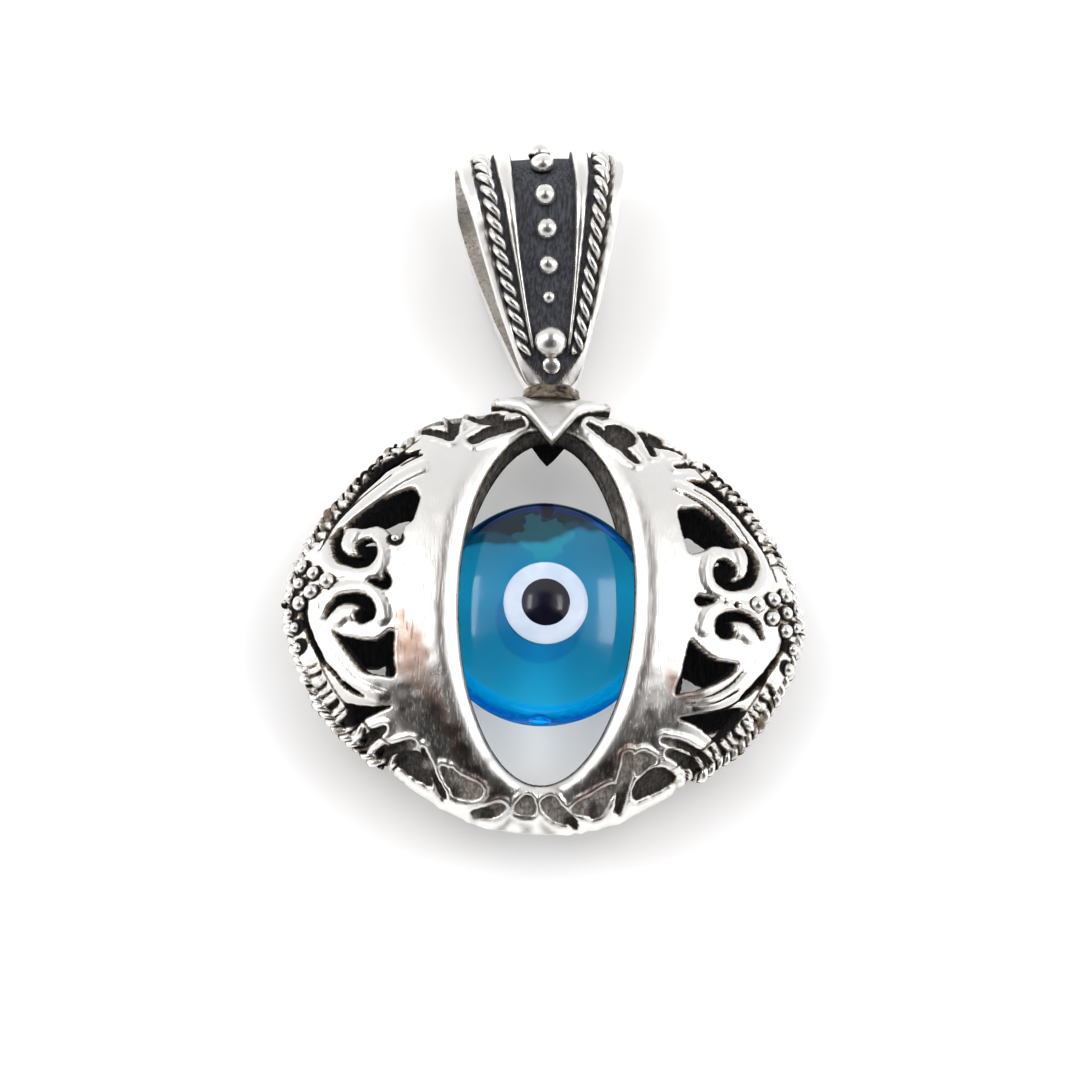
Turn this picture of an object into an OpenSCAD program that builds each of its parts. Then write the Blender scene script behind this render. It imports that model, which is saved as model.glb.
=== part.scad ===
// Evil eye pendant: a hollow pierced silver case that traps a glass eye bead, a saddle-shaped
// collar over its top and a fluted bail for the chain. It lies on its back, +Z up, +Y to the bail.

/* [Case] */
// Width of the case between its two tips
case_w = 25.6; // [23:0.1:29]
// Height of the case from its lower to its upper edge
case_h = 21.8; // [20.4:0.1:25]
// Depth of the full domes, front to back, before the window opens their crown
case_d = 8.1; // [7.6:0.1:9.5]
// Thickness of the silver at the crown of a dome
wall = 0.75; // [0.6:0.05:0.9]
// Thickness of the silver in the plane of the seam
seam_wall = 0.55; // [0.5:0.05:0.7]
// Depth of the carved triangles and slots
carve_depth = 0.3; // [0.2:0.05:0.35]
// Height of the plain band above the seam, where the carving ends
seam_band = 0.4; // [0.3:0.05:0.6]

/* [Window] */
// Width of the window across its middle
window_w = 8.85; // [7.6:0.05:9.6]
// Length of the window from end to end
window_h = 19; // [17:0.1:19.2]
// Height of the window's middle above the middle of the case
window_up = 0.35; // [0:0.05:0.4]

/* [Seam rope] */
// Thickness of the rope edge along the seam
rope_d = 0.9; // [0.6:0.05:1.2]
// How many twists each quarter of the rope edge shows
rope_twists = 8; // [7:1:10]

/* [Bead] */
// Diameter of the glass bead
bead_d = 11; // [9.8:0.1:11.6]
// Thickness of the bead from face to face
bead_t = 5.2; // [4.6:0.1:5.3]
// Height of the bead's straight side
bead_side = 2.4; // [2:0.1:2.8]
// Diameter of the hole drilled through the bead
bead_hole_d = 1; // [0.6:0.1:1.4]
// How far above the middle of the case the bead sits
bead_up = 0.4; // [0:0.05:0.6]
// Gap between the bead and the back of the case, on whose rim it lies
bead_gap = 0.3; // [0.2:0.05:0.5]
// Diameter of the white of the eye
white_d = 4.2; // [3.4:0.1:5]
// Diameter of the pupil
pupil_d = 2.6; // [1.8:0.1:3]
// Thickness of the inlaid white glass
white_t = 0.8; // [0.6:0.05:1]
// Thickness of the inlaid pupil
pupil_t = 0.45; // [0.3:0.05:0.5]
// Gap round each inlaid piece of glass
inlay_gap = 0.03; // [0.02:0.01:0.05]

/* [Collar] */
// Thickness of the collar's sheet
collar_t = 0.6; // [0.4:0.05:0.9]
// Gap between the collar and what it is soldered to
solder_gap = 0.04; // [0.02:0.01:0.08]
// Width of the collar from wing to wing
collar_w = 5.8; // [5:0.1:7]
// How far the pointed flap reaches down the face of the case
flap_drop = 2.7; // [2:0.1:3.2]
// How far the wings reach down the face of the case
wing_drop = 0.35; // [0.2:0.05:0.6]
// Diameter of the neck that carries the bail
neck_d = 2.8; // [2.2:0.1:3.2]
// Height of the bail's foot above the edge of the case
neck_h = 1; // [0.8:0.05:1.5]

/* [Bail] */
// Depth of the bail from front to back over its ridges
bail_d = 7.8; // [7.6:0.1:9]
// Width of the bail over its crest
bail_w = 8.6; // [7.4:0.1:9.6]
// Height of the bail's bend above its foot
bail_h = 8.3; // [7:0.1:10]
// Thickness of the bail's strip
strip_t = 0.6; // [0.5:0.05:0.7]
// Height of the raised ridges beside the channel
ridge_h = 0.35; // [0.2:0.05:0.4]
// Sideways lean of the bail, in degrees
bail_lean = 5; // [0:0.5:6]
// Half of the slit between the strip's two ends at the foot
foot_slit = 0.02; // [0.01:0.01:0.05]
// Thickness of the twisted wire beside each edge
wire_d = 0.85; // [0.6:0.05:1]
// How many twists each wire shows along the bail
wire_twists = 8; // [7:1:12]

/* [Hidden] */

half_w = case_w / 2;
half_h = case_h / 2;
half_d = case_d / 2;
OUTER_GRID = [22, 28];
INNER_GRID = [14, 20];
RING_TURN = 1.5;
GRAIN_SIDES = 10;
SLOT_SIDES = 8;
ROPE_SIDES = 6;
WIRE_SIDES = 5;
BEND_STEPS = 7;
SHOULDER_STEPS = 8;

// Outlines of the openings of one side, as shares of half the case's width and height: [out, up]
UPPER_LEAF = [[0.78, 0.35], [0.72, 0.415], [0.645, 0.465], [0.595, 0.49], [0.535, 0.5], [0.51, 0.43],
    [0.525, 0.365], [0.56, 0.335], [0.575, 0.295], [0.595, 0.265], [0.615, 0.295], [0.67, 0.34],
    [0.72, 0.34]];
LOWER_LEAF = [[0.82, -0.155], [0.74, -0.205], [0.67, -0.212], [0.62, -0.19], [0.575, -0.155],
    [0.555, -0.3], [0.55, -0.375], [0.6, -0.368], [0.67, -0.345], [0.72, -0.29], [0.775, -0.225]];
UPPER_SLIT = [[0.535, 0.645], [0.61, 0.605], [0.69, 0.54], [0.755, 0.475], [0.81, 0.405], [0.86, 0.325],
    [0.873, 0.335], [0.82, 0.445], [0.763, 0.53], [0.69, 0.62], [0.66, 0.66], [0.6, 0.66]];
LOWER_SLIT = [[0.93, -0.02], [0.925, -0.11], [0.88, -0.19], [0.83, -0.27], [0.77, -0.36], [0.7, -0.43],
    [0.62, -0.49], [0.56, -0.525], [0.63, -0.55], [0.715, -0.585], [0.755, -0.5], [0.8, -0.42],
    [0.86, -0.33], [0.91, -0.22], [0.945, -0.11], [0.945, -0.03]];

// Curled slots and the keyhole, cut by a disc that travels along them: [out, up, radius], shares of half
// the case's width, height and width
UPPER_VOLUTE = [[0.8, 0.335, 0.006], [0.817, 0.29, 0.014], [0.82, 0.245, 0.017], [0.8, 0.2, 0.018],
    [0.767, 0.172, 0.018], [0.733, 0.165, 0.02], [0.7, 0.178, 0.025], [0.695, 0.21, 0.031],
    [0.713, 0.236, 0.035]];
LOWER_VOLUTE = [[0.85, -0.085, 0.006], [0.834, -0.045, 0.012], [0.805, -0.015, 0.015],
    [0.768, -0.004, 0.017], [0.727, -0.012, 0.02], [0.696, -0.036, 0.026], [0.695, -0.07, 0.03],
    [0.717, -0.088, 0.026]];
KEYHOLE = [[0.61, 0.075, 0.021], [0.63, 0.071, 0.014], [0.665, 0.071, 0.005]];

// Carved triangles, leaves and slots of one quarter of the edge: [out, away from the middle]
CARVED = [
    [[0.47, 0.625], [0.56, 0.64], [0.66, 0.68], [0.64, 0.7]],
    [[0.49, 0.68], [0.635, 0.73], [0.61, 0.755], [0.54, 0.73]],
    [[0.375, 0.865], [0.415, 0.765], [0.515, 0.77], [0.49, 0.835]],
    [[0.365, 0.7], [0.44, 0.7], [0.385, 0.765]],
    [[0.33, 0.7], [0.352, 0.702], [0.33, 0.905], [0.302, 0.91]],
    [[0.145, 0.915], [0.285, 0.815], [0.23, 0.935]],
    [[0.015, 0.893], [0.055, 0.885], [0.14, 0.955], [0.07, 0.96]]];

// Granules at a tip: [out, up, diameter as a share of half the case's width]
TIP_GRAINS = [[0.845, 0.08, 0.048], [0.9, 0.125, 0.046], [0.9, 0.035, 0.046], [0.945, 0.165, 0.042],
    [0.958, 0.08, 0.042], [0.95, 0.0, 0.046], [0.985, 0.05, 0.04], [0.965, -0.07, 0.038]];

// Granules down the bail's channel: [share of the way from foot to crest, diameter as a share of the
// bail's width]
BAIL_GRAINS = [[0.085, 0.1], [0.17, 0.19], [0.325, 0.08], [0.44, 0.125], [0.565, 0.13], [0.67, 0.13],
    [0.8, 0.145], [0.955, 0.145]];

// The bail's half width along it: [share of the way from foot to crest, share of half the bail's width]
BAIL_WIDTHS = [[0, 0.2], [0.03, 0.3], [0.08, 0.37], [0.3, 0.6], [0.5, 0.77], [0.75, 0.96], [1, 1]];

// How far a granule's middle stands above what it is soldered to, as a share of its diameter
GRAIN_RISE = 0.2;

// Where each wire lies across the strip, and where it starts along it, as shares
WIRE_ACROSS = 0.71;
WIRE_START = 0.14;

// How much thinner a wire starts, as a share, how far its twists slant, in degrees, and how thick the
// slices are that its hulls span
WIRE_TAPER = 0.25;
WIRE_SLANT = 20;
WIRE_SLICE = 0.02;

// Where the seam's rope ends, as a share of half the case's width
ROPE_END = 0.61;

// How thick a twisted rope or wire is in the nip between two twists, as a share
NIP = 0.7;

// Corner of the collar's flap where it leaves the wing: [out, down] as shares of wing and flap
FLAP_CORNER = [0.42, 0.35];

// Width of the bead's rounded shoulder, and rise of its domed face, as shares of the height of both
SHOULDER = 1.2;
CROWN = 0.18;

// Across the strip: [share of its half width, share of the ridge height]
STRIP_SECTION = [[1, 0.75], [0.87, 0.75], [0.84, 0], [0.58, 0], [0.55, 1], [0.42, 1], [0.38, 0]];

// Radius of the two arcs that meet at the tips of an outline w by h in half sizes
function arc_r(w, h) = (w * w + h * h) / (2 * h);

// Half height of that outline at a distance x from its middle
function chord(x, w, h) = sqrt(max(pow(arc_r(w, h), 2) - x * x, 0)) - (arc_r(w, h) - h);

// Height of the case's outer surface above its middle plane
function dome_z(x, y) =
    half_d / half_h * sqrt(max(pow(max(chord(x, half_w, half_h), 0), 2) - y * y, 0));

// The case's middle plane lies as high as its window's rim is deep, so the rim rests on the ground
mid_z = dome_z(window_w / 2, 0);

// The bail's back rests on the ground too
bail_z = bail_d / 2;

// Radius of the middle line of the bail's bend
strip_r = bail_d / 2 - ridge_h - strip_t / 2;
foot_y = half_h + neck_h;

// A lens-shaped form with elliptical sections: two arcs seen from the front, w by h by d in half sizes.
// The grid gives its rings from tip to tip and its points round each ring. Each ring is turned a little
// against the next, so that no two of its triangles lie in one plane.
module lens_form(w, h, d, grid) {
    rings = grid[0];
    spokes = grid[1];
    xs = [for (i = [1:rings - 1]) -w * cos(180 * i / rings)];
    points = [
        [-w, 0, 0],
        for (i = [0:len(xs) - 1]) for (j = [0:spokes - 1])
            let (c = chord(xs[i], w, h), f = 360 * j / spokes + RING_TURN * (i % 2 == 0 ? 1 : -1))
                [xs[i], c * cos(f), d / h * c * sin(f)],
        [w, 0, 0]];
    last = len(points) - 1;
    faces = [
        for (j = [0:spokes - 1]) [0, 1 + j, 1 + (j + 1) % spokes],
        for (i = [0:rings - 3]) for (j = [0:spokes - 1])
            let (a = 1 + i * spokes, b = a + spokes, k = (j + 1) % spokes)
                each [[a + j, b + j, b + k], [a + j, b + k, a + k]],
        for (j = [0:spokes - 1])
            [last, last - spokes + (j + 1) % spokes, last - spokes + j]];
    polyhedron(points, faces);
}

// The case's outer form, grown or shrunk evenly
module case_form(grow) {
    lens_form(half_w + grow, half_h + grow, half_d + grow, OUTER_GRID);
}

// A flat outline given in shares of half the case's size
module share_outline(points) {
    polygon([for (p = points) [p[0] * half_w, p[1] * half_h]]);
}

// The slot that a disc cuts as it travels along the rows of a table
module share_slot(rows) {
    for (i = [0:len(rows) - 2]) hull() {
        for (row = [rows[i], rows[i + 1]])
            translate([row[0] * half_w, row[1] * half_h]) circle(r = row[2] * half_w, $fn = SLOT_SIDES);
    }
}

// All the pierced work of one side of one face
module side_openings() {
    share_outline(UPPER_LEAF);
    share_outline(LOWER_LEAF);
    share_outline(UPPER_SLIT);
    share_outline(LOWER_SLIT);
    share_slot(UPPER_VOLUTE);
    share_slot(LOWER_VOLUTE);
    share_slot(KEYHOLE);
}

// Repeats its children on both sides, left and right
module both_sides() {
    children();
    mirror([1, 0, 0]) children();
}

// Repeats its children on the front and the back
module both_faces() {
    children();
    mirror([0, 0, 1]) children();
}

module window_cut() {
    translate([0, window_up, 0]) linear_extrude(case_d * 2, center = true)
        scale([window_w, window_h]) circle(d = 1, $fn = 48);
}

// Recesses cut into the surface to the carving depth
module carving() {
    difference() {
        intersection() {
            translate([0, 0, seam_band]) linear_extrude(case_d) both_sides() {
                for (shape = CARVED) {
                    share_outline(shape);
                    mirror([0, 1, 0]) share_outline(shape);
                }
            }
            case_form(1);
        }
        case_form(-carve_depth);
    }
}

// A closed tube through rings of points, all with the same number of points
module ring_tube(rings) {
    count = len(rings[0]);
    last = len(rings) - 1;
    faces = concat(
        [[for (k = [0:count - 1]) k]],
        [for (i = [0:last - 1]) for (k = [0:count - 1])
            let (a = i * count, b = a + count, n = (k + 1) % count) [a + k, b + k, b + n, a + n]],
        [[for (k = [count - 1:-1:0]) last * count + k]]);
    polyhedron([for (ring = rings) each ring], faces);
}

// One quarter of the rope edge that runs along the seam, from a tip towards the middle
module seam_rope() {
    r = arc_r(half_w, half_h);
    tip_angle = acos(half_w / r);
    end_angle = acos(ROPE_END * half_w / r);
    steps = rope_twists * 2;
    ring_tube([for (k = [0:steps])
        let (a = tip_angle + (end_angle - tip_angle) * k / steps, w = rope_d / 2 * (k % 2 == 0 ? 1 : NIP))
            [for (j = [0:ROPE_SIDES - 1])
                let (f = -360 * j / ROPE_SIDES, out = r + w * cos(f))
                    [out * cos(a), out * sin(a) - (r - half_h), w * sin(f)]]]);
}

module tip_grains() {
    for (g = TIP_GRAINS)
        translate([g[0] * half_w, g[1] * half_h, dome_z(g[0] * half_w, g[1] * half_h)])
            sphere(d = g[2] * half_w, $fn = GRAIN_SIDES);
}

module case() {
    color("silver") translate([0, origin_y, mid_z]) {
        difference() {
            case_form(0);
            lens_form(half_w - seam_wall, half_h - seam_wall, half_d - wall, INNER_GRID);
            window_cut();
            both_faces() both_sides() linear_extrude(case_d) side_openings();
            carving();
        }
        both_sides() {
            seam_rope();
            mirror([0, 1, 0]) seam_rope();
            both_faces() tip_grains();
        }
    }
}

// The collar seen from the front: wings along the edge and a pointed flap
module collar_outline() {
    w = collar_w / 2;
    corner = [FLAP_CORNER[0] * w, half_h - FLAP_CORNER[1] * flap_drop];
    polygon([[-w, half_h - wing_drop], [-corner[0], corner[1]], [0, half_h - flap_drop], corner,
        [w, half_h - wing_drop], [w, half_h + neck_h], [-w, half_h + neck_h]]);
}

module collar() {
    color("silver") translate([0, origin_y, mid_z]) {
        difference() {
            intersection() {
                case_form(solder_gap + collar_t);
                linear_extrude(case_d * 2, center = true) collar_outline();
            }
            case_form(solder_gap);
        }
        translate([0, half_h + neck_base, 0]) rotate([-90, 0, 0])
            cylinder(d1 = neck_d * 1.35, d2 = neck_d, h = neck_top - neck_base, $fn = 32);
    }
}

// The bail's strip runs up the front from its foot, round the bend and down the back. The middle line of
// its front half is a straight run from the foot, then a bend to the crest.
foot_z = strip_t / 2 + foot_slit;
straight = sqrt(bail_h * bail_h + foot_z * foot_z - strip_r * strip_r);
slope = asin(strip_r / norm([bail_h, foot_z])) - atan2(foot_z, bail_h);
half_run = straight + strip_r * (90 + slope) * PI / 180;

// Angle of the strip's outward normal above the bail's middle plane, at the run t from the foot
function turn_at(t) = t < straight ? -slope : -slope + (t - straight) / strip_r * 180 / PI;

// Point [y, z] of the middle line at the run t from the foot
function line_at(t) = t < straight
    ? [t * cos(slope), foot_z + t * sin(slope)]
    : [bail_h + strip_r * sin(turn_at(t)), strip_r * cos(turn_at(t))];

// Half width of the strip at the run t from the foot
function width_at(t) = bail_w / 2 * lookup(t / half_run, BAIL_WIDTHS);

// A point on the strip: run t from the foot, x across, and a height above the middle line
function on_strip(t, x, height) =
    let (n = turn_at(t), p = line_at(t)) [x, p[0] + height * sin(n), p[1] + height * cos(n)];

// How far the ridges of the leaning foot reach below the middle of its end
foot_dip = max([for (c = STRIP_SECTION, side = [1, -1])
    let (p = on_strip(0, side * c[0] * width_at(0), strip_t / 2 + c[1] * ridge_h))
    -p[1] * cos(bail_lean) - p[0] * sin(bail_lean)]);

// The neck starts within the sheet and ends just under the bail's ridges, both above the edge of the case
neck_base = solder_gap + collar_t / 4;
neck_top = neck_h - foot_dip - solder_gap;

// The granule by the crest reaches furthest
crest_grain = BAIL_GRAINS[len(BAIL_GRAINS) - 1];
crest_grain_d = crest_grain[1] * bail_w;
crest_y = foot_y + crest_grain_d / 2 + cos(bail_lean)
    * on_strip(crest_grain[0] * half_run, 0, strip_t / 2 + GRAIN_RISE * crest_grain_d)[1];

// Moves the whole pendant so that the origin is under the middle of its box
origin_y = -(crest_y - half_h) / 2;

// Where the strip's sections stand, as shares of its run from foot to crest: a few up the straight
// stretch, then BEND_STEPS steps round the bend
STATIONS = concat([0, 0.03, 0.08, 0.2, 0.35, 0.5],
    [for (i = [0:BEND_STEPS]) 1 - (1 - straight / half_run) * (1 - i / BEND_STEPS)]);

// The front half of the strip, from the foot to the crest
module half_strip() {
    left = [for (c = STRIP_SECTION) [-c[0], c[1]]];
    right = [for (i = [len(STRIP_SECTION) - 1:-1:0]) STRIP_SECTION[i]];
    ring_tube([for (s = STATIONS) let (t = s * half_run, w = width_at(t)) concat(
        [for (c = concat(left, right)) on_strip(t, c[0] * w, strip_t / 2 + c[1] * ridge_h)],
        [for (side = [1, -1]) on_strip(t, side * w, -strip_t / 2)])]);
}

// A twisted wire in the groove beside an edge, from the foot to the crest
module half_wire() {
    steps = wire_twists * 2;
    for (i = [0:steps - 1]) hull() {
        for (k = [i, i + 1]) {
            t = half_run * (WIRE_START + (1 - WIRE_START) * k / steps);
            thick = wire_d * (1 - WIRE_TAPER * (1 - k / steps));
            translate(on_strip(t, WIRE_ACROSS * width_at(t), strip_t / 2 + ridge_h - wire_d / 2))
                rotate([-turn_at(t), 0, 0]) rotate([90, 0, WIRE_SLANT])
                    cylinder(d = thick * (k % 2 == 0 ? 1 : NIP), h = WIRE_SLICE, $fn = WIRE_SIDES);
        }
    }
}

module bail_grains() {
    for (g = BAIL_GRAINS)
        translate(on_strip(g[0] * half_run, 0, strip_t / 2 + g[1] * bail_w * GRAIN_RISE))
            sphere(d = g[1] * bail_w, $fn = GRAIN_SIDES);
}

module bail() {
    color("silver") translate([0, origin_y + foot_y, bail_z]) rotate([0, 0, bail_lean]) {
        both_faces() {
            half_strip();
            both_sides() half_wire();
        }
        bail_grains();
        rotate([-90, 0, 0]) cylinder(d = strip_t * 2, h = strip_t, $fn = 16);
    }
}

// Height of the bead's rounded shoulder and domed face together, above its straight side
bead_rise = (bead_t - bead_side) / 2;
shoulder_w = SHOULDER * bead_rise;

// A point [radius, height] of the rounded shoulder, from its foot at 0 degrees to the face at 90
function shoulder_at(a) =
    [bead_d / 2 - shoulder_w * (1 - cos(a)), bead_side / 2 + (1 - CROWN) * bead_rise * sin(a)];

// Half profile of the bead: straight side, rounded shoulder and gently domed face
function bead_profile(n) = concat(
    [for (i = [0:n]) shoulder_at(90 * i / n)],
    [for (i = [1:n]) let (u = 1 - i / n)
        [(bead_d / 2 - shoulder_w) * u, bead_side / 2 + bead_rise * (1 - CROWN * u * u)]]);

// The bead lies on the rim of the rear window: the turn of its shoulder over the rim, and how far
// the inside of the case lies from the middle plane there
rim_turn = acos(max(1 - (bead_d - window_w) / 2 / shoulder_w, 0));
inner_h = half_h - seam_wall;
inner_rim_z = (half_d - wall) * chord(window_w / 2, half_w - seam_wall, inner_h) / inner_h;
bead_z = mid_z - inner_rim_z + shoulder_at(rim_turn)[1] + bead_gap;

module bead_glass() {
    half = bead_profile(SHOULDER_STEPS);
    outline = concat(half, [for (i = [len(half) - 1:-1:0]) [half[i][0], -half[i][1]]]);
    color("deepskyblue") translate([0, origin_y + bead_up, bead_z]) difference() {
        rotate_extrude($fn = 96) polygon(outline);
        translate([0, 0, bead_t / 2 - white_t])
            cylinder(d = white_d + 2 * inlay_gap, h = white_t * 2, $fn = 64);
        rotate([90, 0, 0]) cylinder(d = bead_hole_d, h = bead_d * 2, center = true, $fn = 32);
    }
}

module eye_white() {
    color("white") translate([0, origin_y + bead_up, bead_z + bead_t / 2 - white_t + inlay_gap])
        difference() {
            cylinder(d = white_d, h = white_t, $fn = 64);
            translate([0, 0, white_t - pupil_t])
                cylinder(d = pupil_d + 2 * inlay_gap, h = white_t, $fn = 64);
        }
}

module eye_pupil() {
    color("midnightblue") translate([0, origin_y + bead_up, bead_z + bead_t / 2 - pupil_t + 2 * inlay_gap])
        cylinder(d = pupil_d, h = pupil_t, $fn = 64);
}

case();
collar();
bail();
bead_glass();
eye_white();
eye_pupil();
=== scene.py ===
"""Evil eye pendant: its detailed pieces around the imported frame, and the studio they stand in."""

import math

import bpy
import numpy as np
from bpy.props import FloatProperty, FloatVectorProperty, IntProperty, PointerProperty
from mathutils import Matrix, Vector


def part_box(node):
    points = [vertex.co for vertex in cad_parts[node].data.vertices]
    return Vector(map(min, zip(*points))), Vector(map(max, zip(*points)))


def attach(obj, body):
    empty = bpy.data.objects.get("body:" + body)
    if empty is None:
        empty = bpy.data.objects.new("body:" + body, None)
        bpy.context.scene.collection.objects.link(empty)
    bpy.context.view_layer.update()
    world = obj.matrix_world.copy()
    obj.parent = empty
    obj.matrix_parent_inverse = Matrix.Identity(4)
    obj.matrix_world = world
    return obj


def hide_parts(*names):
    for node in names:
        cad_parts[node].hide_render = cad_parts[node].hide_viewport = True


bl_info = {
    "name": "Evil Eye Pendant",
    "version": (1, 0, 0),
    "blender": (4, 5, 0),
    "location": "3D View > Sidebar > Pendant",
    "description": "Builds a pierced silver pendant with a glass eye bead, and a studio round it",
    "category": "Add Mesh",
}

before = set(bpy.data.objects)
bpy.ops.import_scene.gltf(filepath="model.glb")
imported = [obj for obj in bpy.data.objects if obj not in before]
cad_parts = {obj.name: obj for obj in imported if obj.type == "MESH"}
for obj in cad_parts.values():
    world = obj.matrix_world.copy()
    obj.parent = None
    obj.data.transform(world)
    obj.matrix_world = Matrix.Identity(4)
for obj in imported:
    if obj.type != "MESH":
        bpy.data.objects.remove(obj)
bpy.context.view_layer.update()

MM = 0.001
TAU = 2 * math.pi

# The case's outer form in millimetres: two arcs seen from the front, with elliptical sections
HALF_W = 12.8
HALF_H = 10.9
HALF_D = 4.05

# Thickness of the shell in front and at its seam, and how far each half stays from the middle plane
WALL = 0.75
SEAM_WALL = 0.55
SEAM_GAP = 0.01

# The window's half width and half height, and how far its middle lies above the case's
WINDOW = (4.42, 9.5, 0.35)

# Step of the square grid that holds the openings and the relief, and how far it goes past the case
FIELD_STEP = 0.04
FIELD_MARGIN = 0.4

# Grid lines along the window's rounded edge, and how far in they reach
EDGE_ROWS = 9
EDGE_REACH = 0.55

# How far the window's edge falls, as a share of a quarter circle, and how much narrower on each side the
# rear's openings are
WINDOW_FALL = 0.62
REAR_NARROWER = 0.24

# Shape of the relief in millimetres, each a bell curve over a distance: [height, middle, width]
CARVED_RIDGE = (0.11, 0.18, 0.15)
LINE_DEPTH = (0.07, 0.0, 0.05)
BAND_HEIGHT = 0.13
BAND_WIDTH = 0.36

# Soot along the openings, the window, the carving's walls, the bands, the engraved lines and the crimped
# edge, each a bell curve over the distance in millimetres: [strength, middle, width]
OPENING_SOOT = (0.55, 0.0, 0.09)
WINDOW_SOOT = (0.7, 0.0, 0.05)
CARVED_SOOT = (0.35, -0.04, 0.06)
BAND_SOOT = (0.25, BAND_WIDTH + 0.03, 0.05)
LINE_SOOT = (0.8, 0.0, 0.055)
CRIMP_SOOT = (0.55, 0.82, 0.09)

# The crimped edge: length of a tooth, and the stretch along the arc from the middle, fading at both ends
TOOTH = 0.62
CRIMP_START = (6.5, 8.0)
CRIMP_END = (14.5, 15.5)

# The outline is fuller at the upper left and leaner at both lower corners, each a bell curve over X:
# [how far along Y, middle, width]
UPPER_LEFT = (0.5, -6.3, 2.0)
LOWER_CORNERS = (0.55, 7.2, 2.6)

# Rings and sides of each granule, and how many points that makes
BALL_RINGS = 10
BALL_SIDES = 14
BALL_POINTS = (BALL_RINGS - 1) * BALL_SIDES + 2

# Sides of each strand of the twisted wires
STRAND_SIDES = 10

# The collar's half width and thickness, and the gap under it
COLLAR_HALF = 2.9
COLLAR_T = 0.6
COLLAR_GAP = 0.04

# Outline of the collar: [distance from its middle, height of the front flap's border, of the rear one's]
COLLAR_BORDER = [[0, 8.2, 8.65], [0.35, 8.62, 8.95], [0.8, 9.3, 9.45], [1.25, 9.98, 9.85],
                 [1.6, 10.25, 10.2], [2.2, 10.45, 10.45], [COLLAR_HALF, 10.52, 10.52]]

# Height of the bail's foot above the edge of the case, of its middle plane above the floor, and half of
# the slit between the strip's two ends
BAIL_RISE = 1.0
BAIL_MIDDLE = 3.9
FOOT_SLIT = 0.02

# Widths of the bail: [share of the way from foot to crest, share of the width over the crest]
BAIL_WIDTHS = [[0, .2], [.03, .3], [.08, .37], [.3, .6], [.5, .77], [.75, .96], [1, 1]]

# How far the bead's face falls to its shoulder, the width of the shoulder, and the bead's size against
# the solid's
BEAD_DOME = 0.8
BEAD_SHOULDER = 0.62
BEAD_STRETCH = (1.015, 1.015, 1)

# Points on the bead's face and on its shoulder, the depths of the hole's two ends, and rings in each
BEAD_STEPS = 26
HOLE_DEPTHS = (0.9, 0.7)
HOLE_RINGS = 10

# Colours of clean silver and of the soot in its recesses
CLEAN_SILVER = (0.935, 0.92, 0.89)
SOOT = (0.009, 0.008, 0.008)

# The camera's elevation, azimuth and roll in degrees, its distance in metres and its focal length in
# millimetres. It looks at a place above the case's middle, moved along the picture's right and top, in
# millimetres.
CAMERA_ANGLES = (74.72, -7.94, 10.21)
CAMERA_DISTANCE = 0.3
CAMERA_LENS = 199.25
CAMERA_TARGET = (0, 6.511, -0.26)
CAMERA_SHIFT = (-0.382, -2.214)


def corner_mm(node, which):
    """One corner of a CAD node's box in millimetres: 0 is the lowest, 1 the highest."""
    return np.array(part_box(node)[which]) / MM


CASE_AT = np.array([0, corner_mm("case", 1)[1] - HALF_H,
                    (corner_mm("case", 0)[2] + corner_mm("case", 1)[2]) / 2])
BEAD_AT = (corner_mm("bead_glass", 0) + corner_mm("bead_glass", 1)) / 2
BEAD_R, BEAD_T = ((corner_mm("bead_glass", 1) - corner_mm("bead_glass", 0)) / (2, 1, 1))[[0, 2]]
BAIL_AT = np.array([0, CASE_AT[1] + (HALF_H + BAIL_RISE), BAIL_MIDDLE])

# Outlines of the openings, in shares of half the case's width and height: [out, up]
LEAVES = {
    "left": [
        [[.781, .355], [.75, .395], [.722, .42], [.68, .45], [.645, .474], [.596, .497], [.536, .508],
         [.508, .47], [.512, .438], [.53, .379], [.56, .345], [.566, .316], [.577, .283], [.592, .272],
         [.607, .283], [.615, .308], [.635, .336], [.673, .35], [.721, .346]],
        [[.822, -.142], [.784, -.168], [.727, -.182], [.656, -.192], [.597, -.15], [.588, -.2],
         [.585, -.27], [.578, -.335], [.583, -.365], [.62, -.36], [.683, -.342], [.722, -.304],
         [.778, -.214]]],
    "right": [
        [[.503, .487], [.54, .5], [.589, .5], [.645, .462], [.698, .411], [.735, .365], [.747, .335],
         [.7, .325], [.648, .324], [.6, .292], [.551, .277], [.525, .35], [.51, .42]],
        [[.56, -.139], [.6, -.178], [.642, -.203], [.69, -.219], [.749, -.219], [.745, -.245],
         [.72, -.278], [.685, -.31], [.648, -.338], [.613, -.361], [.56, -.385], [.513, -.4],
         [.52, -.35], [.54, -.25]]]}
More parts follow.
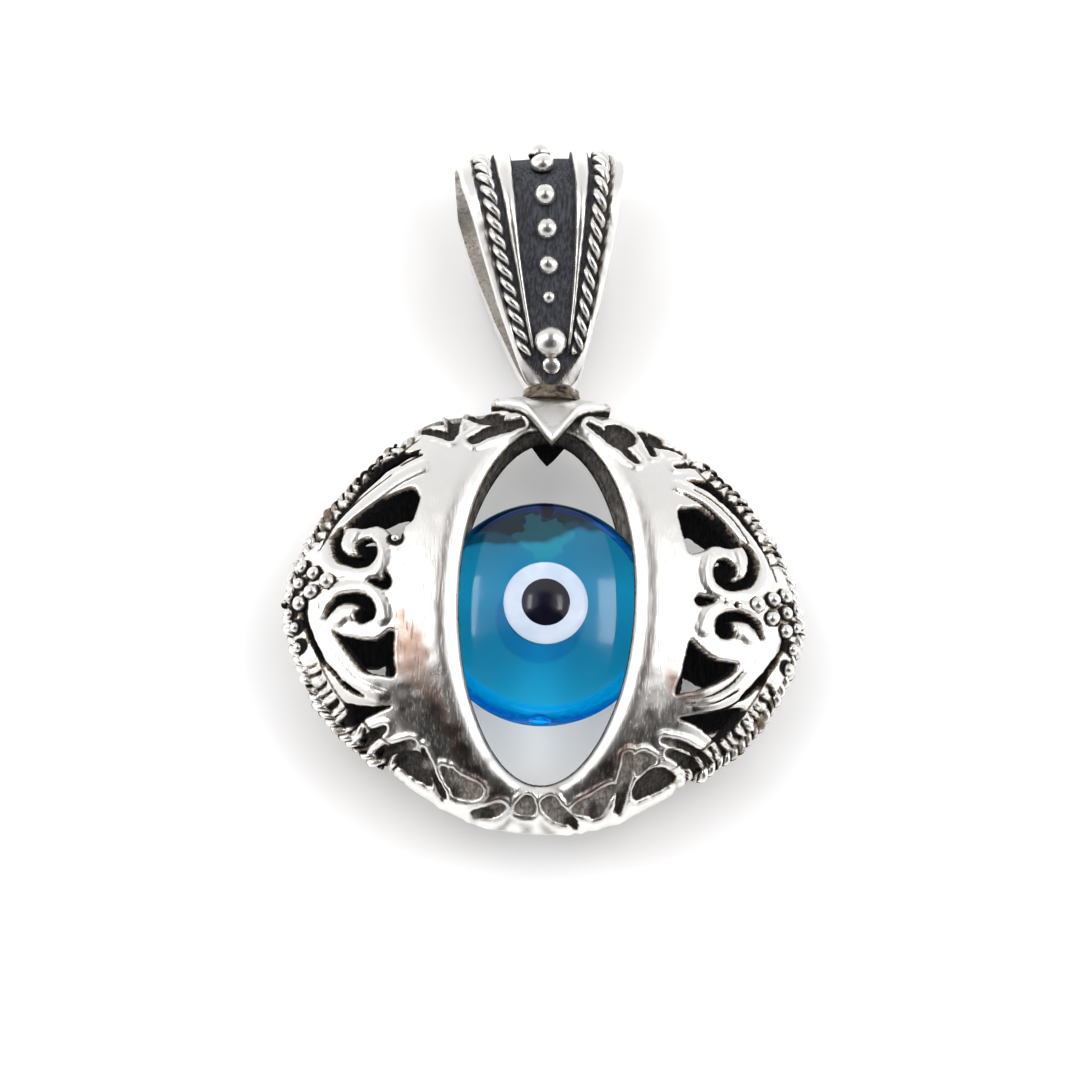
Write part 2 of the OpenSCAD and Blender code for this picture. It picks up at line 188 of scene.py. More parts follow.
SLITS = {
    "left": [
        [[.512, .67], [.56, .652], [.62, .622], [.665, .592], [.7, .56], [.75, .5], [.8, .432],
         [.865, .335], [.83, .41], [.785, .48], [.75, .545], [.725, .6], [.69, .664], [.64, .69], [.57, .69]],
        [[.935, .02], [.928, -.05], [.905, -.13], [.87, -.215], [.83, -.285], [.77, -.37], [.7, -.44],
         [.69, -.455], [.745, -.415], [.8, -.345], [.86, -.26], [.91, -.165], [.945, -.06]],
        [[.754, -.482], [.7, -.505], [.64, -.52], [.584, -.524], [.63, -.548], [.685, -.57],
         [.739, -.59], [.752, -.54]]],
    "right": [
        [[.536, .645], [.6, .615], [.66, .57], [.72, .51], [.79, .42], [.84, .34], [.85, .35],
         [.81, .44], [.76, .51], [.721, .573], [.66, .62], [.6, .65]],
        [[.93, -.02], [.925, -.11], [.88, -.19], [.83, -.27], [.77, -.36], [.775, -.375], [.84, -.3],
         [.89, -.22], [.93, -.13], [.945, -.05]],
        [[.531, -.527], [.6, -.5], [.68, -.46], [.775, -.415], [.76, -.49], [.72, -.56], [.687, -.602],
         [.61, -.56]]]}

# Curled slots and keyholes, cut by a disc that travels along them: [out, up, radius], in shares of half
# the case's width, height and width
CURLS = {
    "left": [
        [[.799, .345, .006], [.817, .301, .014], [.819, .257, .017], [.8, .211, .018],
         [.766, .184, .018], [.732, .177, .02], [.699, .19, .024], [.69, .223, .03], [.705, .249, .035]],
        [[.851, -.075, .006], [.834, -.035, .012], [.805, -.004, .015], [.768, .007, .017],
         [.727, .0, .02], [.696, -.024, .026], [.691, -.06, .03], [.71, -.08, .028]],
        [[.624, .068, .02], [.65, .069, .012], [.684, .085, .005]],
        [[.618, .08, .016], [.62, .1, .01], [.625, .122, .004]]],
    "right": [
        [[.763, .345, .006], [.79, .3, .014], [.801, .25, .02], [.79, .19, .02], [.767, .158, .018],
         [.72, .135, .018], [.689, .15, .024], [.68, .19, .036], [.69, .215, .04]],
        [[.84, -.08, .006], [.825, -.035, .012], [.79, -.005, .016], [.75, .0, .017],
         [.71, -.01, .02], [.69, -.04, .028], [.696, -.07, .036]],
        [[.597, .053, .023], [.62, .056, .014], [.648, .059, .005]],
        [[.69, .055, .006], [.692, .055, .006]],
        [[.735, .05, .006], [.737, .05, .006]]]}

# Carved triangles and leaves at the edge, in shares: [out, up]
CARVED = {
    "left": [
        [[.53, .835], [.47, .925], [.425, .84]], [[.33, .895], [.275, .955], [.19, .94], [.22, .88]],
        [[.561, -.759], [.475, -.725], [.45, -.751], [.414, -.848], [.485, -.824]],
        [[.343, -.782], [.315, -.801], [.228, -.841], [.233, -.877], [.282, -.885], [.332, -.872]],
        [[.253, -.94], [.188, -.918], [.147, -.906], [.127, -.92], [.154, -.945], [.201, -.958]],
        [[.084, -.928], [.065, -.884], [.031, -.88], [.018, -.936]]],
    "right": [
        [[.215, .892], [.274, .908], [.328, .85], [.296, .786], [.237, .827]],
        [[.389, .884], [.432, .858], [.426, .805], [.39, .827]],
        [[.016, -.893], [.054, -.878], [.1, -.92], [.151, -.958], [.122, -.967], [.073, -.957],
         [.03, -.93]],
        [[.134, -.913], [.222, -.846], [.278, -.812], [.288, -.832], [.264, -.882], [.231, -.936],
         [.187, -.93]],
        [[.365, -.823], [.412, -.763], [.47, -.751], [.512, -.775], [.523, -.799], [.47, -.832],
         [.42, -.855], [.377, -.865]],
        [[.364, -.694], [.395, -.682], [.44, -.715], [.418, -.739], [.381, -.764], [.366, -.728]]]}

# Carved slots: [out, up, radius], in shares
CARVED_SLOTS = {
    "left": [
        [[.375, .945, .024], [.385, .806, .019]], [[.31, .773, .014], [.22, .85, .022], [.12, .905, .014]],
        [[.49, .795, .014], [.4, .772, .018]],
        [[.694, -.67, .01], [.65, -.65, .018], [.608, -.63, .008]],
        [[.627, -.736, .008], [.56, -.718, .017], [.495, -.695, .008]],
        [[.453, -.717, .007], [.42, -.79, .008], [.364, -.886, .006]],
        [[.369, -.786, .01], [.346, -.84, .006]]],
    "right": [
        [[.149, .905, .008], [.25, .81, .015], [.335, .711, .008]], [[.356, .88, .013], [.398, .761, .009]],
        [[.43, .817, .008], [.51, .801, .008]], [[.492, .712, .006], [.597, .737, .006]],
        [[.337, -.696, .014], [.325, -.8, .019], [.31, -.905, .013]],
        [[.497, -.687, .009], [.56, -.712, .018], [.63, -.739, .009]],
        [[.47, -.63, .006], [.57, -.66, .01], [.672, -.692, .006]],
        [[.08, -.91, .006], [.1, -.945, .007], [.15, -.972, .006]]]}

# Middle lines of the raised bands, as [out, up]
BANDS = {
    "left": [
        [[.5, .6], [.6, .555], [.7, .48], [.79, .385], [.85, .29], [.862, .215], [.84, .16], [.79, .13]],
        [[.895, .03], [.9, -.06], [.868, -.18], [.79, -.315], [.717, -.405], [.62, -.47]],
        [[.66, .275], [.645, .2], [.665, .13], [.72, .115], [.775, .13]],
        [[.755, .33], [.775, .27], [.76, .235]],
        [[.63, -.09], [.645, -.02], [.69, .045], [.75, .06], [.81, .05]],
        [[.8, -.09], [.775, -.06], [.75, -.065]]],
    "right": [
        [[.5, .6], [.6, .555], [.69, .475], [.77, .385], [.83, .29], [.845, .2], [.82, .13], [.77, .1]],
        [[.89, .03], [.89, -.06], [.86, -.17], [.79, -.295], [.717, -.385], [.61, -.46]],
        [[.63, .26], [.62, .19], [.64, .12], [.7, .095], [.76, .11]],
        [[.75, .32], [.765, .25], [.755, .21]],
        [[.61, -.08], [.63, -.01], [.68, .04], [.74, .05], [.8, .045]],
        [[.79, -.09], [.765, -.06], [.745, -.07]]]}

# Engraved lines beside the bands, as [out, up]
LINES = {
    "left": [
        [[.62, .585], [.7, .52], [.78, .43], [.84, .345], [.88, .25]],
        [[.66, .59], [.74, .515], [.81, .42], [.87, .32]],
        [[.5, .66], [.58, .625]], [[.51, .69], [.57, .665]],
        [[.92, .0], [.91, -.1], [.87, -.215]]],
    "right": [
        [[.52, .565], [.6, .52], [.68, .44]], [[.56, .59], [.64, .54], [.72, .455], [.78, .36]],
        [[.7, .57], [.79, .46], [.86, .33], [.9, .2]],
        [[.56, -.42], [.64, -.39], [.72, -.32], [.77, -.25]], [[.56, -.455], [.66, -.42], [.75, -.34]],
        [[.6, -.49], [.7, -.44], [.79, -.35]]]}

# Granules at the tips: [out, up, diameter in millimetres]
TIP_GRAINS = {
    "left": [
        [.845, .094, .62], [.898, .139, .56], [.903, .05, .6], [.941, .18, .5], [.951, .1, .5],
        [.945, .005, .6], [.979, .14, .46], [.985, .052, .46], [.985, -.03, .42], [.96, -.1, .42],
        [.945, -.19, .4], [.592, .285, .34]],
    "right": [
        [.818, .067, .66], [.881, .104, .62], [.88, .015, .6], [.929, .136, .6], [.935, .055, .56],
        [.934, -.03, .6], [.977, .091, .46], [.978, .0, .46], [.965, -.1, .46], [.95, -.19, .54]]}

# Painted dark reflections on the front panels' lower slopes, in millimetres from the case's middle: [x, y,
# half width]
DARK_REFLECTION_PATCHES = [
    [[-7.6, -4.9, 0.5], [-6.6, -5.6, 0.8], [-5.5, -6.9, 0.95], [-4.1, -8.2, 0.8], [-2.6, -9.5, 0.55],
     [-0.6, -10.2, 0.35]],
    [[7.6, -4.7, 0.5], [6.6, -5.5, 0.75], [5.5, -6.7, 0.8], [4.1, -8.1, 0.7], [2.4, -9.5, 0.55],
     [0.5, -10.2, 0.35]]]
# Painted warm, copper-coloured reflections along the border of the dark ones, in millimetres: [x, y, half
# width]
WARM_REFLECTION_PATCHES = [
    [[-7.1, -1.0, 0.25], [-6.8, -2.2, 0.65], [-6.6, -3.4, 0.75], [-5.7, -4.6, 0.45], [-4.7, -6.4, 0.3],
     [-3.6, -8.1, 0.2], [-2.3, -9.4, 0.15]],
    [[6.3, -3.6, 0.3], [7.1, -4.1, 0.5]], [[4.4, -6.9, 0.15], [3.3, -8.4, 0.2], [2.0, -9.5, 0.12]]]

# Granules down the bail's channel: [share of the way from foot to crest, diameter, height as a share]
BAIL_GRAINS = [[.085, .95, .4], [.17, 1.62, .8], [.325, .7, .85], [.44, 1.06, .85], [.565, 1.1, .9],
               [.67, 1.1, .9], [.8, 1.22, .9], [.955, 1.24, .9]]


# Numbers and meshes


def ramp(low, high, value):
    """Smooth step from 0 at low to 1 at high: 3t^2 - 2t^3."""
    t = np.clip((value - low) / (high - low), 0, 1)
    return t * t * (3 - 2 * t)


def bell(value, height, middle, width):
    """Bell curve: the height times e to the minus square of (value - middle) / width."""
    return height * np.exp(-((value - middle) / width) ** 2)


def unit(v):
    """Vectors scaled to length 1 along the last axis."""
    return v / np.maximum(np.linalg.norm(v, axis=-1, keepdims=True), 1e-12)


def ripple(points, wavelength, seed):
    """Smooth irregular values from about -1 to 1: a sum of sine waves in seeded directions."""
    waves = 7
    rng = np.random.RandomState(seed)
    ways = unit(rng.normal(size=(waves, points.shape[-1])))
    speeds = TAU / wavelength * rng.uniform(0.6, 1.5, waves)
    return np.sin((points @ ways.T) * speeds + rng.uniform(0, TAU, waves)).sum(-1) / math.sqrt(waves)


def rounding(distance, radius):
    """How far a rounded edge lies below its surface: a quarter circle that starts radius away."""
    t = np.clip(radius - distance, 0, radius)
    return radius - np.sqrt(np.maximum(radius * radius - t * t, 0)) + np.maximum(-distance, 0) * 3


def grid_triangles(rows, cols, wrap_rows=False, wrap_cols=False):
    """Triangles over a rows by cols grid of points, numbered row by row."""
    r = np.arange(rows if wrap_rows else rows - 1)[:, None]
    c = np.arange(cols if wrap_cols else cols - 1)[None, :]
    a = r * cols + c
    b = r * cols + (c + 1) % cols
    d = (r + 1) % rows * cols + c
    e = (r + 1) % rows * cols + (c + 1) % cols
    return np.concatenate([np.stack([a, b, e], -1).reshape(-1, 3), np.stack([a, e, d], -1).reshape(-1, 3)])


def smooth_path(points, steps, closed=False):
    """Catmull-Rom curve through the points: each span is the cubic set by its four nearest points."""
    p = np.asarray(points, float)
    if closed:
        p = np.vstack([p[-1:], p, p[:2]])
    else:
        p = np.vstack([2 * p[:1] - p[1:2], p, 2 * p[-1:] - p[-2:-1]])
    t = (np.arange(steps) / steps)[None, :, None]
    a, b, c, d = (p[k:len(p) - 3 + k, None] for k in range(4))
    squares, cubes = 2 * a - 5 * b + 4 * c - d, 3 * b - a - 3 * c + d
    curve = 0.5 * (2 * b + (c - a) * t + squares * t ** 2 + cubes * t ** 3)
    curve = curve.reshape(-1, p.shape[1])
    return curve if closed else np.vstack([curve, p[-2:-1]])


def put_mesh(name, points, triangles, material, slot, replaces, oxide=None, normals=None, crease=None,
             **marks):
    """Makes an object at the origin from points in millimetres, and lets it ride on the root body.
    Oxide and the marks have one value a point, normals one a triangle corner, and crease is the angle
    that stays sharp."""
    mesh = bpy.data.meshes.new(name)
    mesh.from_pydata((points * MM).tolist(), [], triangles.tolist())
    mesh.polygons.foreach_set("use_smooth", np.ones(len(triangles), bool))
    for key, values in ({} if oxide is None else {"oxide": oxide, **marks}).items():
        mesh.attributes.new(key, "FLOAT", "POINT").data.foreach_set("value", np.asarray(values, float))
    if crease is not None:
        mesh.set_sharp_from_angle(angle=crease)
    if normals is not None:
        mesh.normals_split_custom_set(normals.tolist())
    mesh.materials.append(material)
    obj = bpy.data.objects.new(name, mesh)
    bpy.context.scene.collection.objects.link(obj)
    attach(obj, "root")
    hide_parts(*replaces)
    return obj


def tube(path, radii, sides, up):
    """A closed tube: a circle carried along a path, square to it, with one direction kept upwards."""
    path = np.asarray(path, float)
    along = unit(np.gradient(path, axis=0))
    side = unit(np.cross(along, up))
    top = np.cross(side, along)
    turn = TAU * np.arange(sides) / sides
    ring = (np.cos(turn)[None, :, None] * side[:, None] + np.sin(turn)[None, :, None] * top[:, None])
    rings = path[:, None] + ring * np.broadcast_to(radii, len(path))[:, None, None]
    return capped(rings)


def capped(rings):
    """Points and triangles of a surface through closed rings, with a point closing each end."""
    count, sides = rings.shape[:2]
    points = np.vstack([rings.reshape(-1, 3), rings[0].mean(0), rings[-1].mean(0)])
    body = grid_triangles(count, sides, wrap_cols=True)
    k = np.arange(sides)
    n = (k + 1) % sides
    low = np.stack([np.full(sides, count * sides), n, k], -1)
    last = (count - 1) * sides
    high = np.stack([np.full(sides, count * sides + 1), last + k, last + n], -1)
    return points, np.concatenate([body, low, high])


def joined(parts):
    """One set of points and triangles from several."""
    points, triangles, start = [], [], 0
    for p, t in parts:
        points.append(p)
        triangles.append(t + start)
        start += len(p)
    return np.vstack(points), np.vstack(triangles)


def facing_out(points, triangles):
    """The triangles turned so that a closed surface's signed volume is positive."""
    a, b, c = (points[triangles[:, k]] for k in range(3))
    return triangles if np.einsum("ij,ij->i", a, np.cross(b, c)).sum() > 0 else triangles[:, ::-1]


def ball():
    """A unit ball: rings from pole to pole, each pole one point."""
    polar = math.pi * np.arange(1, BALL_RINGS) / BALL_RINGS
    around = TAU * np.arange(BALL_SIDES) / BALL_SIDES
    rings = np.stack([np.sin(polar)[:, None] * np.cos(around), np.sin(polar)[:, None] * np.sin(around),
                      np.repeat(np.cos(polar)[:, None], BALL_SIDES, 1)], -1)
    points, triangles = capped(rings)
    points[-2:] = [[0, 0, 1], [0, 0, -1]]
    return points, facing_out(points, triangles)


def turned_form(profile, sides):
    """A closed form turned round Z from a half profile [radius, height] that starts and ends on the axis."""
    around = TAU * np.arange(sides) / sides
    inner = profile[1:-1]
    rings = np.stack([inner[:, :1] * np.cos(around), inner[:, :1] * np.sin(around),
                      np.repeat(inner[:, 1:], sides, 1)], -1)
    points, triangles = capped(rings)
    points[-2:] = [[0, 0, profile[0][1]], [0, 0, profile[-1][1]]]
    return points, facing_out(points, triangles)


# The case


def arc_radius(w, h):
    """Radius of the arcs that bound an outline of half sizes w and h."""
    return (w * w + h * h) / (2 * h)


def chord(x, w, h):
    """Half height of that outline at x: sqrt(r^2 - x^2) - (r - h)."""
    r = arc_radius(w, h)
    return np.sqrt(np.maximum(r * r - x * x, 0)) - (r - h)


def dome(x, y, w=HALF_W, h=HALF_H, d=HALF_D):
    """Height of the lens form above its middle plane: d / h * sqrt(chord(x)^2 - y^2)."""
    return d / h * np.sqrt(np.maximum(np.maximum(chord(x, w, h), 0) ** 2 - y * y, 0))


def dome_normal(x, y):
    """The lens form's outward normal, from the gradient of its equation."""
    r = arc_radius(HALF_W, HALF_H)
    slope = np.maximum(chord(x, HALF_W, HALF_H), 0) * x / np.sqrt(r * r - x * x)
    return unit(np.stack([slope, y, dome(x, y) * (HALF_H / HALF_D) ** 2], -1))


def rim_place(x, y):
    """Distance inwards from the case's outline, and the length along its arc from the middle."""
    r = arc_radius(HALF_W, HALF_H)
    away = np.abs(y) + r - HALF_H
    return r - np.hypot(x, away), r * np.arctan2(x, away)


def window_distance(x, y):
    """Distance outwards from the window's edge: the ellipse's equation over its slope."""
    a, b, up = WINDOW
    level = np.sqrt((x / a) ** 2 + ((y - up) / b) ** 2)
    steep = np.sqrt((x / a ** 2) ** 2 + ((y - up) / b ** 2) ** 2) / np.maximum(level, 1e-6)
    return (level - 1) / np.maximum(steep, 1e-6)


def span_distances(x, y, p, q):
    """For each point and each straight span from p to q: the share of the span at the nearest place, and
    the distance to it."""
    x, y = x[..., None], y[..., None]
    ex, ey = (q - p).T
    t = np.clip(((x - p[:, 0]) * ex + (y - p[:, 1]) * ey) / np.maximum(ex * ex + ey * ey, 1e-12), 0, 1)
    return t, np.hypot(x - p[:, 0] - t * ex, y - p[:, 1] - t * ey)


def outline_distance(x, y, outline):
    """Signed distance to a closed outline, negative inside: nearest edge, and crossings of a ray."""
    p = np.asarray(outline)
    q = np.roll(p, -1, 0)
    gap = span_distances(x, y, p, q)[1].min(-1)
    x, y = x[..., None], y[..., None]
    ex, ey = (q - p).T
    rise = np.where(np.abs(ey) < 1e-12, 1e-12, ey)
    crossed = ((p[:, 1] > y) != (q[:, 1] > y)) & (x < ex * (y - p[:, 1]) / rise + p[:, 0])
    return np.where(crossed.sum(-1) % 2 == 1, -gap, gap)


def path_distance(x, y, path, radii):
    """Distance to a path that widens and narrows: the least over its spans, less the radius there."""
    t, gap = span_distances(x, y, path[:-1], path[1:])
    return (gap - (radii[:-1] + t * (radii[1:] - radii[:-1]))).min(-1)


class PlanField:
    """Values on a fine square grid over the case, seen from the front, read by bilinear steps."""

    def __init__(self, value=0.0):
        self.x = np.arange(-HALF_W - FIELD_MARGIN, HALF_W + FIELD_MARGIN, FIELD_STEP)
        self.y = np.arange(-HALF_H - FIELD_MARGIN, HALF_H + FIELD_MARGIN, FIELD_STEP)
        self.mesh = np.meshgrid(self.x, self.y, indexing="ij")
        self.values = np.full(self.mesh[0].shape, value)

    def lay(self, points, reach, measure):
        """Lowers the values near the points to the distance that measure gives."""
        low, high = points.min(0) - reach, points.max(0) + reach
        i = slice(*np.searchsorted(self.x, [low[0], high[0]]))
        j = slice(*np.searchsorted(self.y, [low[1], high[1]]))
        part = self.values[i, j]
        np.minimum(part, measure(self.mesh[0][i, j], self.mesh[1][i, j]), out=part)

    def at(self, x, y):
        """The value at each point, weighed from the four grid points round it."""
        i = np.clip((x - self.x[0]) / FIELD_STEP, 0, len(self.x) - 1.001)
        j = np.clip((y - self.y[0]) / FIELD_STEP, 0, len(self.y) - 1.001)
        a, b = i.astype(int), j.astype(int)
        u, v = i - a, j - b
        z = self.values
        return ((z[a, b] * (1 - v) + z[a, b + 1] * v) * (1 - u)
                + (z[a + 1, b] * (1 - v) + z[a + 1, b + 1] * v) * u)


def shares_to_mm(rows, side):
    """Table rows in shares of half the case, as millimetres on the left or right side."""
    sign = -1 if side == "left" else 1
    rows = np.asarray(rows, float)
    scale = [sign * HALF_W, HALF_H, HALF_W][:rows.shape[1]]
    return rows * scale


def distance_field(outlines, slots, reach=1.2):
    """Distance to the nearest of some outlines and slots, up to the reach."""
    field = PlanField(reach)
    for side, rows in outlines:
        curve = smooth_path(shares_to_mm(rows, side), 5, closed=True)
        field.lay(curve, reach, lambda x, y, c=curve: outline_distance(x, y, c))
    for side, rows in slots:
        curve = smooth_path(shares_to_mm(rows, side), 5)
        field.lay(curve[:, :2], reach, lambda x, y, c=curve: path_distance(x, y, c[:, :2], c[:, 2]))
    return field


def both(table):
    """Every entry of a table with its side."""
    return [(side, rows) for side in ("left", "right") for rows in table[side]]


def case_fields(settings, front):
    """The openings' distance field, the relief on the surface, and on it the oxide, the tarnish with painted
    dark reflections, and the painted warm reflections, as plan fields. The rear's openings are smaller, and
    only the front is carved."""
    holes = distance_field(both(LEAVES) + both(SLITS), both(CURLS))
    relief, oxide, tarnish, blush = PlanField(), PlanField(), PlanField(), PlanField()
    x, y = relief.mesh
    spots = np.stack([x, y], -1)
    wave, fine, small = ripple(spots, 5.0, 3), ripple(spots, 1.1, 5), ripple(spots, 0.42, 6)
    holes.values += 0.022 * fine + 0.014 * small + (0 if front else REAR_NARROWER)
    relief.values += 0.008 * wave + 0.004 * fine
    relief.values -= rounding(holes.values, settings.opening_edge / MM)
    relief.values -= WINDOW_FALL * rounding(window_distance(x, y), settings.window_edge / MM)
    soot = bell(np.maximum(holes.values, 0), *OPENING_SOOT)
    soot += bell(np.maximum(window_distance(x, y), 0), *WINDOW_SOOT)
    if front:
        floor, ridge = carve(relief, soot, settings.carving / MM, fine, small)
        soot = np.maximum(soot, granule_feet(x, y))
        # Painted dark reflections on the lower slopes, weaker on the carved ridges, and real tarnish on the
        # carved floors
        tarnish.values += reflection_patches(x, y, DARK_REFLECTION_PATCHES, 0.3 * fine) * (1 - 0.9 * ridge)
        tarnish.values[floor > 0] = np.maximum(tarnish.values, 0.16 * floor)[floor > 0]
        # Painted warm reflections
        blush.values += reflection_patches(x, y, WARM_REFLECTION_PATCHES, 0.2 * fine)
        raise_bands(relief, soot)
    crimp(relief, soot, 1 if front else 0.6, fine, small)
    oxide.values += np.clip(soot, 0, 1)
    return holes, relief, oxide, tarnish, blush


def carve(relief, soot, depth, fine, small):
    """Sinks the carved triangles and slots by the depth, raises a ridge round them and blackens their
    floors and walls. Returns 1 on the floors, and 1 on the ridges."""
    carved = distance_field(both(CARVED), both(CARVED_SLOTS), 0.8).values
    carved = carved - 0.06 + 0.02 * fine + 0.015 * small
    floor = 1 - ramp(-0.12, 0.04, carved)
    ridge = bell(carved, 1, *CARVED_RIDGE[1:])
    relief.values -= (depth + 0.03 * small) * floor
    relief.values += CARVED_RIDGE[0] * ridge
    soot += 0.8 * (1 - ramp(-0.08, 0.02, carved))
    soot += bell(carved, *CARVED_SOOT)
    return floor, ridge


def granule_feet(x, y):
    """Soot round the foot of each granule at the tips: it fades from 0.3 to 0.55 mm away."""
    away = np.full(x.shape, HALF_W)
    for side, (out, up, _) in both(TIP_GRAINS):
        across, along = shares_to_mm([[out, up]], side)[0]
        away = np.minimum(away, np.hypot(x - across, y - along))
    return 0.8 * (1 - ramp(0.3, 0.55, away))


def line_distance(table):
    """Distance to the nearest path of a table of [out, up]."""
    return distance_field([], [(side, [[*row, 0] for row in rows]) for side, rows in both(table)]).values


def raise_bands(relief, soot):
    """Half round bands beside the openings, and engraved lines beside the bands."""
    bands = line_distance(BANDS)
    relief.values += BAND_HEIGHT * np.sqrt(np.maximum(1 - (bands / BAND_WIDTH) ** 2, 0))
    soot += bell(bands, *BAND_SOOT)
    lines = line_distance(LINES)
    relief.values -= bell(lines, *LINE_DEPTH)
    soot += bell(lines, *LINE_SOOT)


def crimp(relief, soot, strength, fine, small):
    """Teeth along the edge: a sine wave over the length of the outline's arc, within 0.8 mm of it."""
    edge, run = rim_place(*relief.mesh)
    away = np.abs(run)
    crimped = ramp(*CRIMP_START, away) * (1 - ramp(*CRIMP_END, away)) * strength
    teeth = 0.5 + 0.5 * np.sin(run * TAU / TOOTH + 1.2 * fine)
    relief.values -= crimped * ramp(0.8, 0.55, edge) * (0.3 - 0.26 * teeth + 0.05 * small)
    soot += crimped * ramp(0.8, 0.55, edge) * (1 - teeth) ** 2 * 0.8
    soot += crimped * bell(edge, *CRIMP_SOOT)


def reflection_patches(x, y, patches, uneven):
    """1 on the patches and 0 away from them, with a soft uneven border."""
    near = np.full(x.shape, 9.0)
    for rows in patches:
        path = smooth_path(rows, 3)
        near = np.minimum(near, path_distance(x, y, path[:, :2], path[:, 2]))
    return ramp(0.55, -0.25, near + uneven)


def spoke_ends(count, w, h):
    """Points round the outline of half sizes w and h, evenly spaced along its two arcs."""
    t = (np.arange(count) + 0.5) / count
    upper = t < 0.5
    s = np.where(upper, 2 * t, 2 * t - 1)
    r = arc_radius(w, h)
    swing = math.asin(w / r)
    angle = np.where(upper, swing * (1 - 2 * s), swing * (2 * s - 1))
    y = r * np.cos(angle) - (r - h)
    return np.stack([r * np.sin(angle), np.where(upper, y, -y)], -1), math.pi * (s + (~upper))


def pierced(values, triangles, keep):
    """Cuts a triangle mesh where keep falls below zero. Each cut edge gets a point in proportion to
    the values at its ends. Returns the rows of values that are left and their triangles."""
    inside = keep > 0
    hits = inside[triangles].sum(1)
    kept = [triangles[hits == 3]]
    cuts = []
    for wanted in (1, 2):
        some = triangles[hits == wanted]
        odd = inside[some] == (wanted == 1)
        order = (odd.argmax(1)[:, None] + np.arange(3)) % 3
        cuts.append(np.take_along_axis(some, order, 1))
    edges = np.concatenate([np.concatenate([c[:, [0, 1]], c[:, [0, 2]]]) for c in cuts])
    keys, where = np.unique(np.sort(edges, 1), axis=0, return_inverse=True)
    where = where.ravel() + len(values)
    k0, k1 = keep[keys[:, 0]], keep[keys[:, 1]]
    t = np.clip(k0 / (k0 - k1), 0.02, 0.98)[:, None]
    values = np.vstack([values, values[keys[:, 0]] * (1 - t) + values[keys[:, 1]] * t])
    n1, n2 = len(cuts[0]), len(cuts[1])
    ab1, ac1 = where[:n1], where[n1:2 * n1]
    ab2, ac2 = where[2 * n1:2 * n1 + n2], where[2 * n1 + n2:]
    kept.append(np.stack([cuts[0][:, 0], ab1, ac1], -1))
    kept.append(np.stack([ab2, cuts[1][:, 1], cuts[1][:, 2]], -1))
    kept.append(np.stack([ab2, cuts[1][:, 2], ac2], -1))
    triangles = np.vstack(kept)
    used, triangles = np.unique(triangles, return_inverse=True)
    return values[used], triangles.reshape(-1, 3)


def open_edges(triangles, count):
    """The directed edges that only one triangle has."""
    edges = np.concatenate([triangles[:, [0, 1]], triangles[:, [1, 2]], triangles[:, [2, 0]]])
    forward = edges[:, 0] * count + edges[:, 1]
    return edges[~np.isin(forward, edges[:, 1] * count + edges[:, 0])]


def case_half(settings, front):
    """Front or rear half of the case: a grid of spokes from the window's edge to the seam, raised to the
    lens form and moved along its normal by the relief, cut by the openings, with an inner surface
    below it and walls between."""
    holes, *fields = case_fields(settings, front)
    values, plan = case_grid(settings, *fields)
    triangles = grid_triangles(*values.shape[:2], wrap_rows=True)
    x, y = plan.reshape(-1, 2).T
    values, triangles = pierced(values.reshape(-1, values.shape[2]), triangles, holes.at(x, y))
    outer, normal, inner, back = (values[:, k:k + 3] for k in (0, 3, 6, 9))
    a, b, c = (outer[triangles[:, k]] for k in range(3))
    if np.cross(b - a, c - a)[:, 2].sum() < 0:
        triangles = triangles[:, ::-1]
    n = len(values)
    points = np.vstack([outer, inner])
    walls, wall_normal = case_walls(points, open_edges(triangles, n), n)
    faces = np.concatenate([triangles, triangles[:, ::-1] + n, walls])
    normals = np.concatenate([normal[triangles.ravel()], back[triangles[:, ::-1].ravel()],
                              wall_normal[walls.ravel() % n]])
    # Inner surfaces: grey-brown tarnish by the window, then painted shade that turns them black deeper inside
    # the case
    deep = ramp(0.9, 2.4, window_distance(outer[:, 0], outer[:, 1]))
    inside = np.stack([0.75 + 0.15 * deep, 1 - deep, np.zeros(n)], -1)
    marks = np.concatenate([values[:, 12:], inside])
    if not front:
        points = points * [1, 1, -1]
        normals = normals * [1, 1, -1]
        faces = faces[:, ::-1]
        normals = normals.reshape(-1, 3, 3)[:, ::-1].reshape(-1, 3)
    points[:, 2] += SEAM_GAP if front else -SEAM_GAP
    return reshaped(points) + CASE_AT, faces, normals, np.clip(marks, 0, 1).T


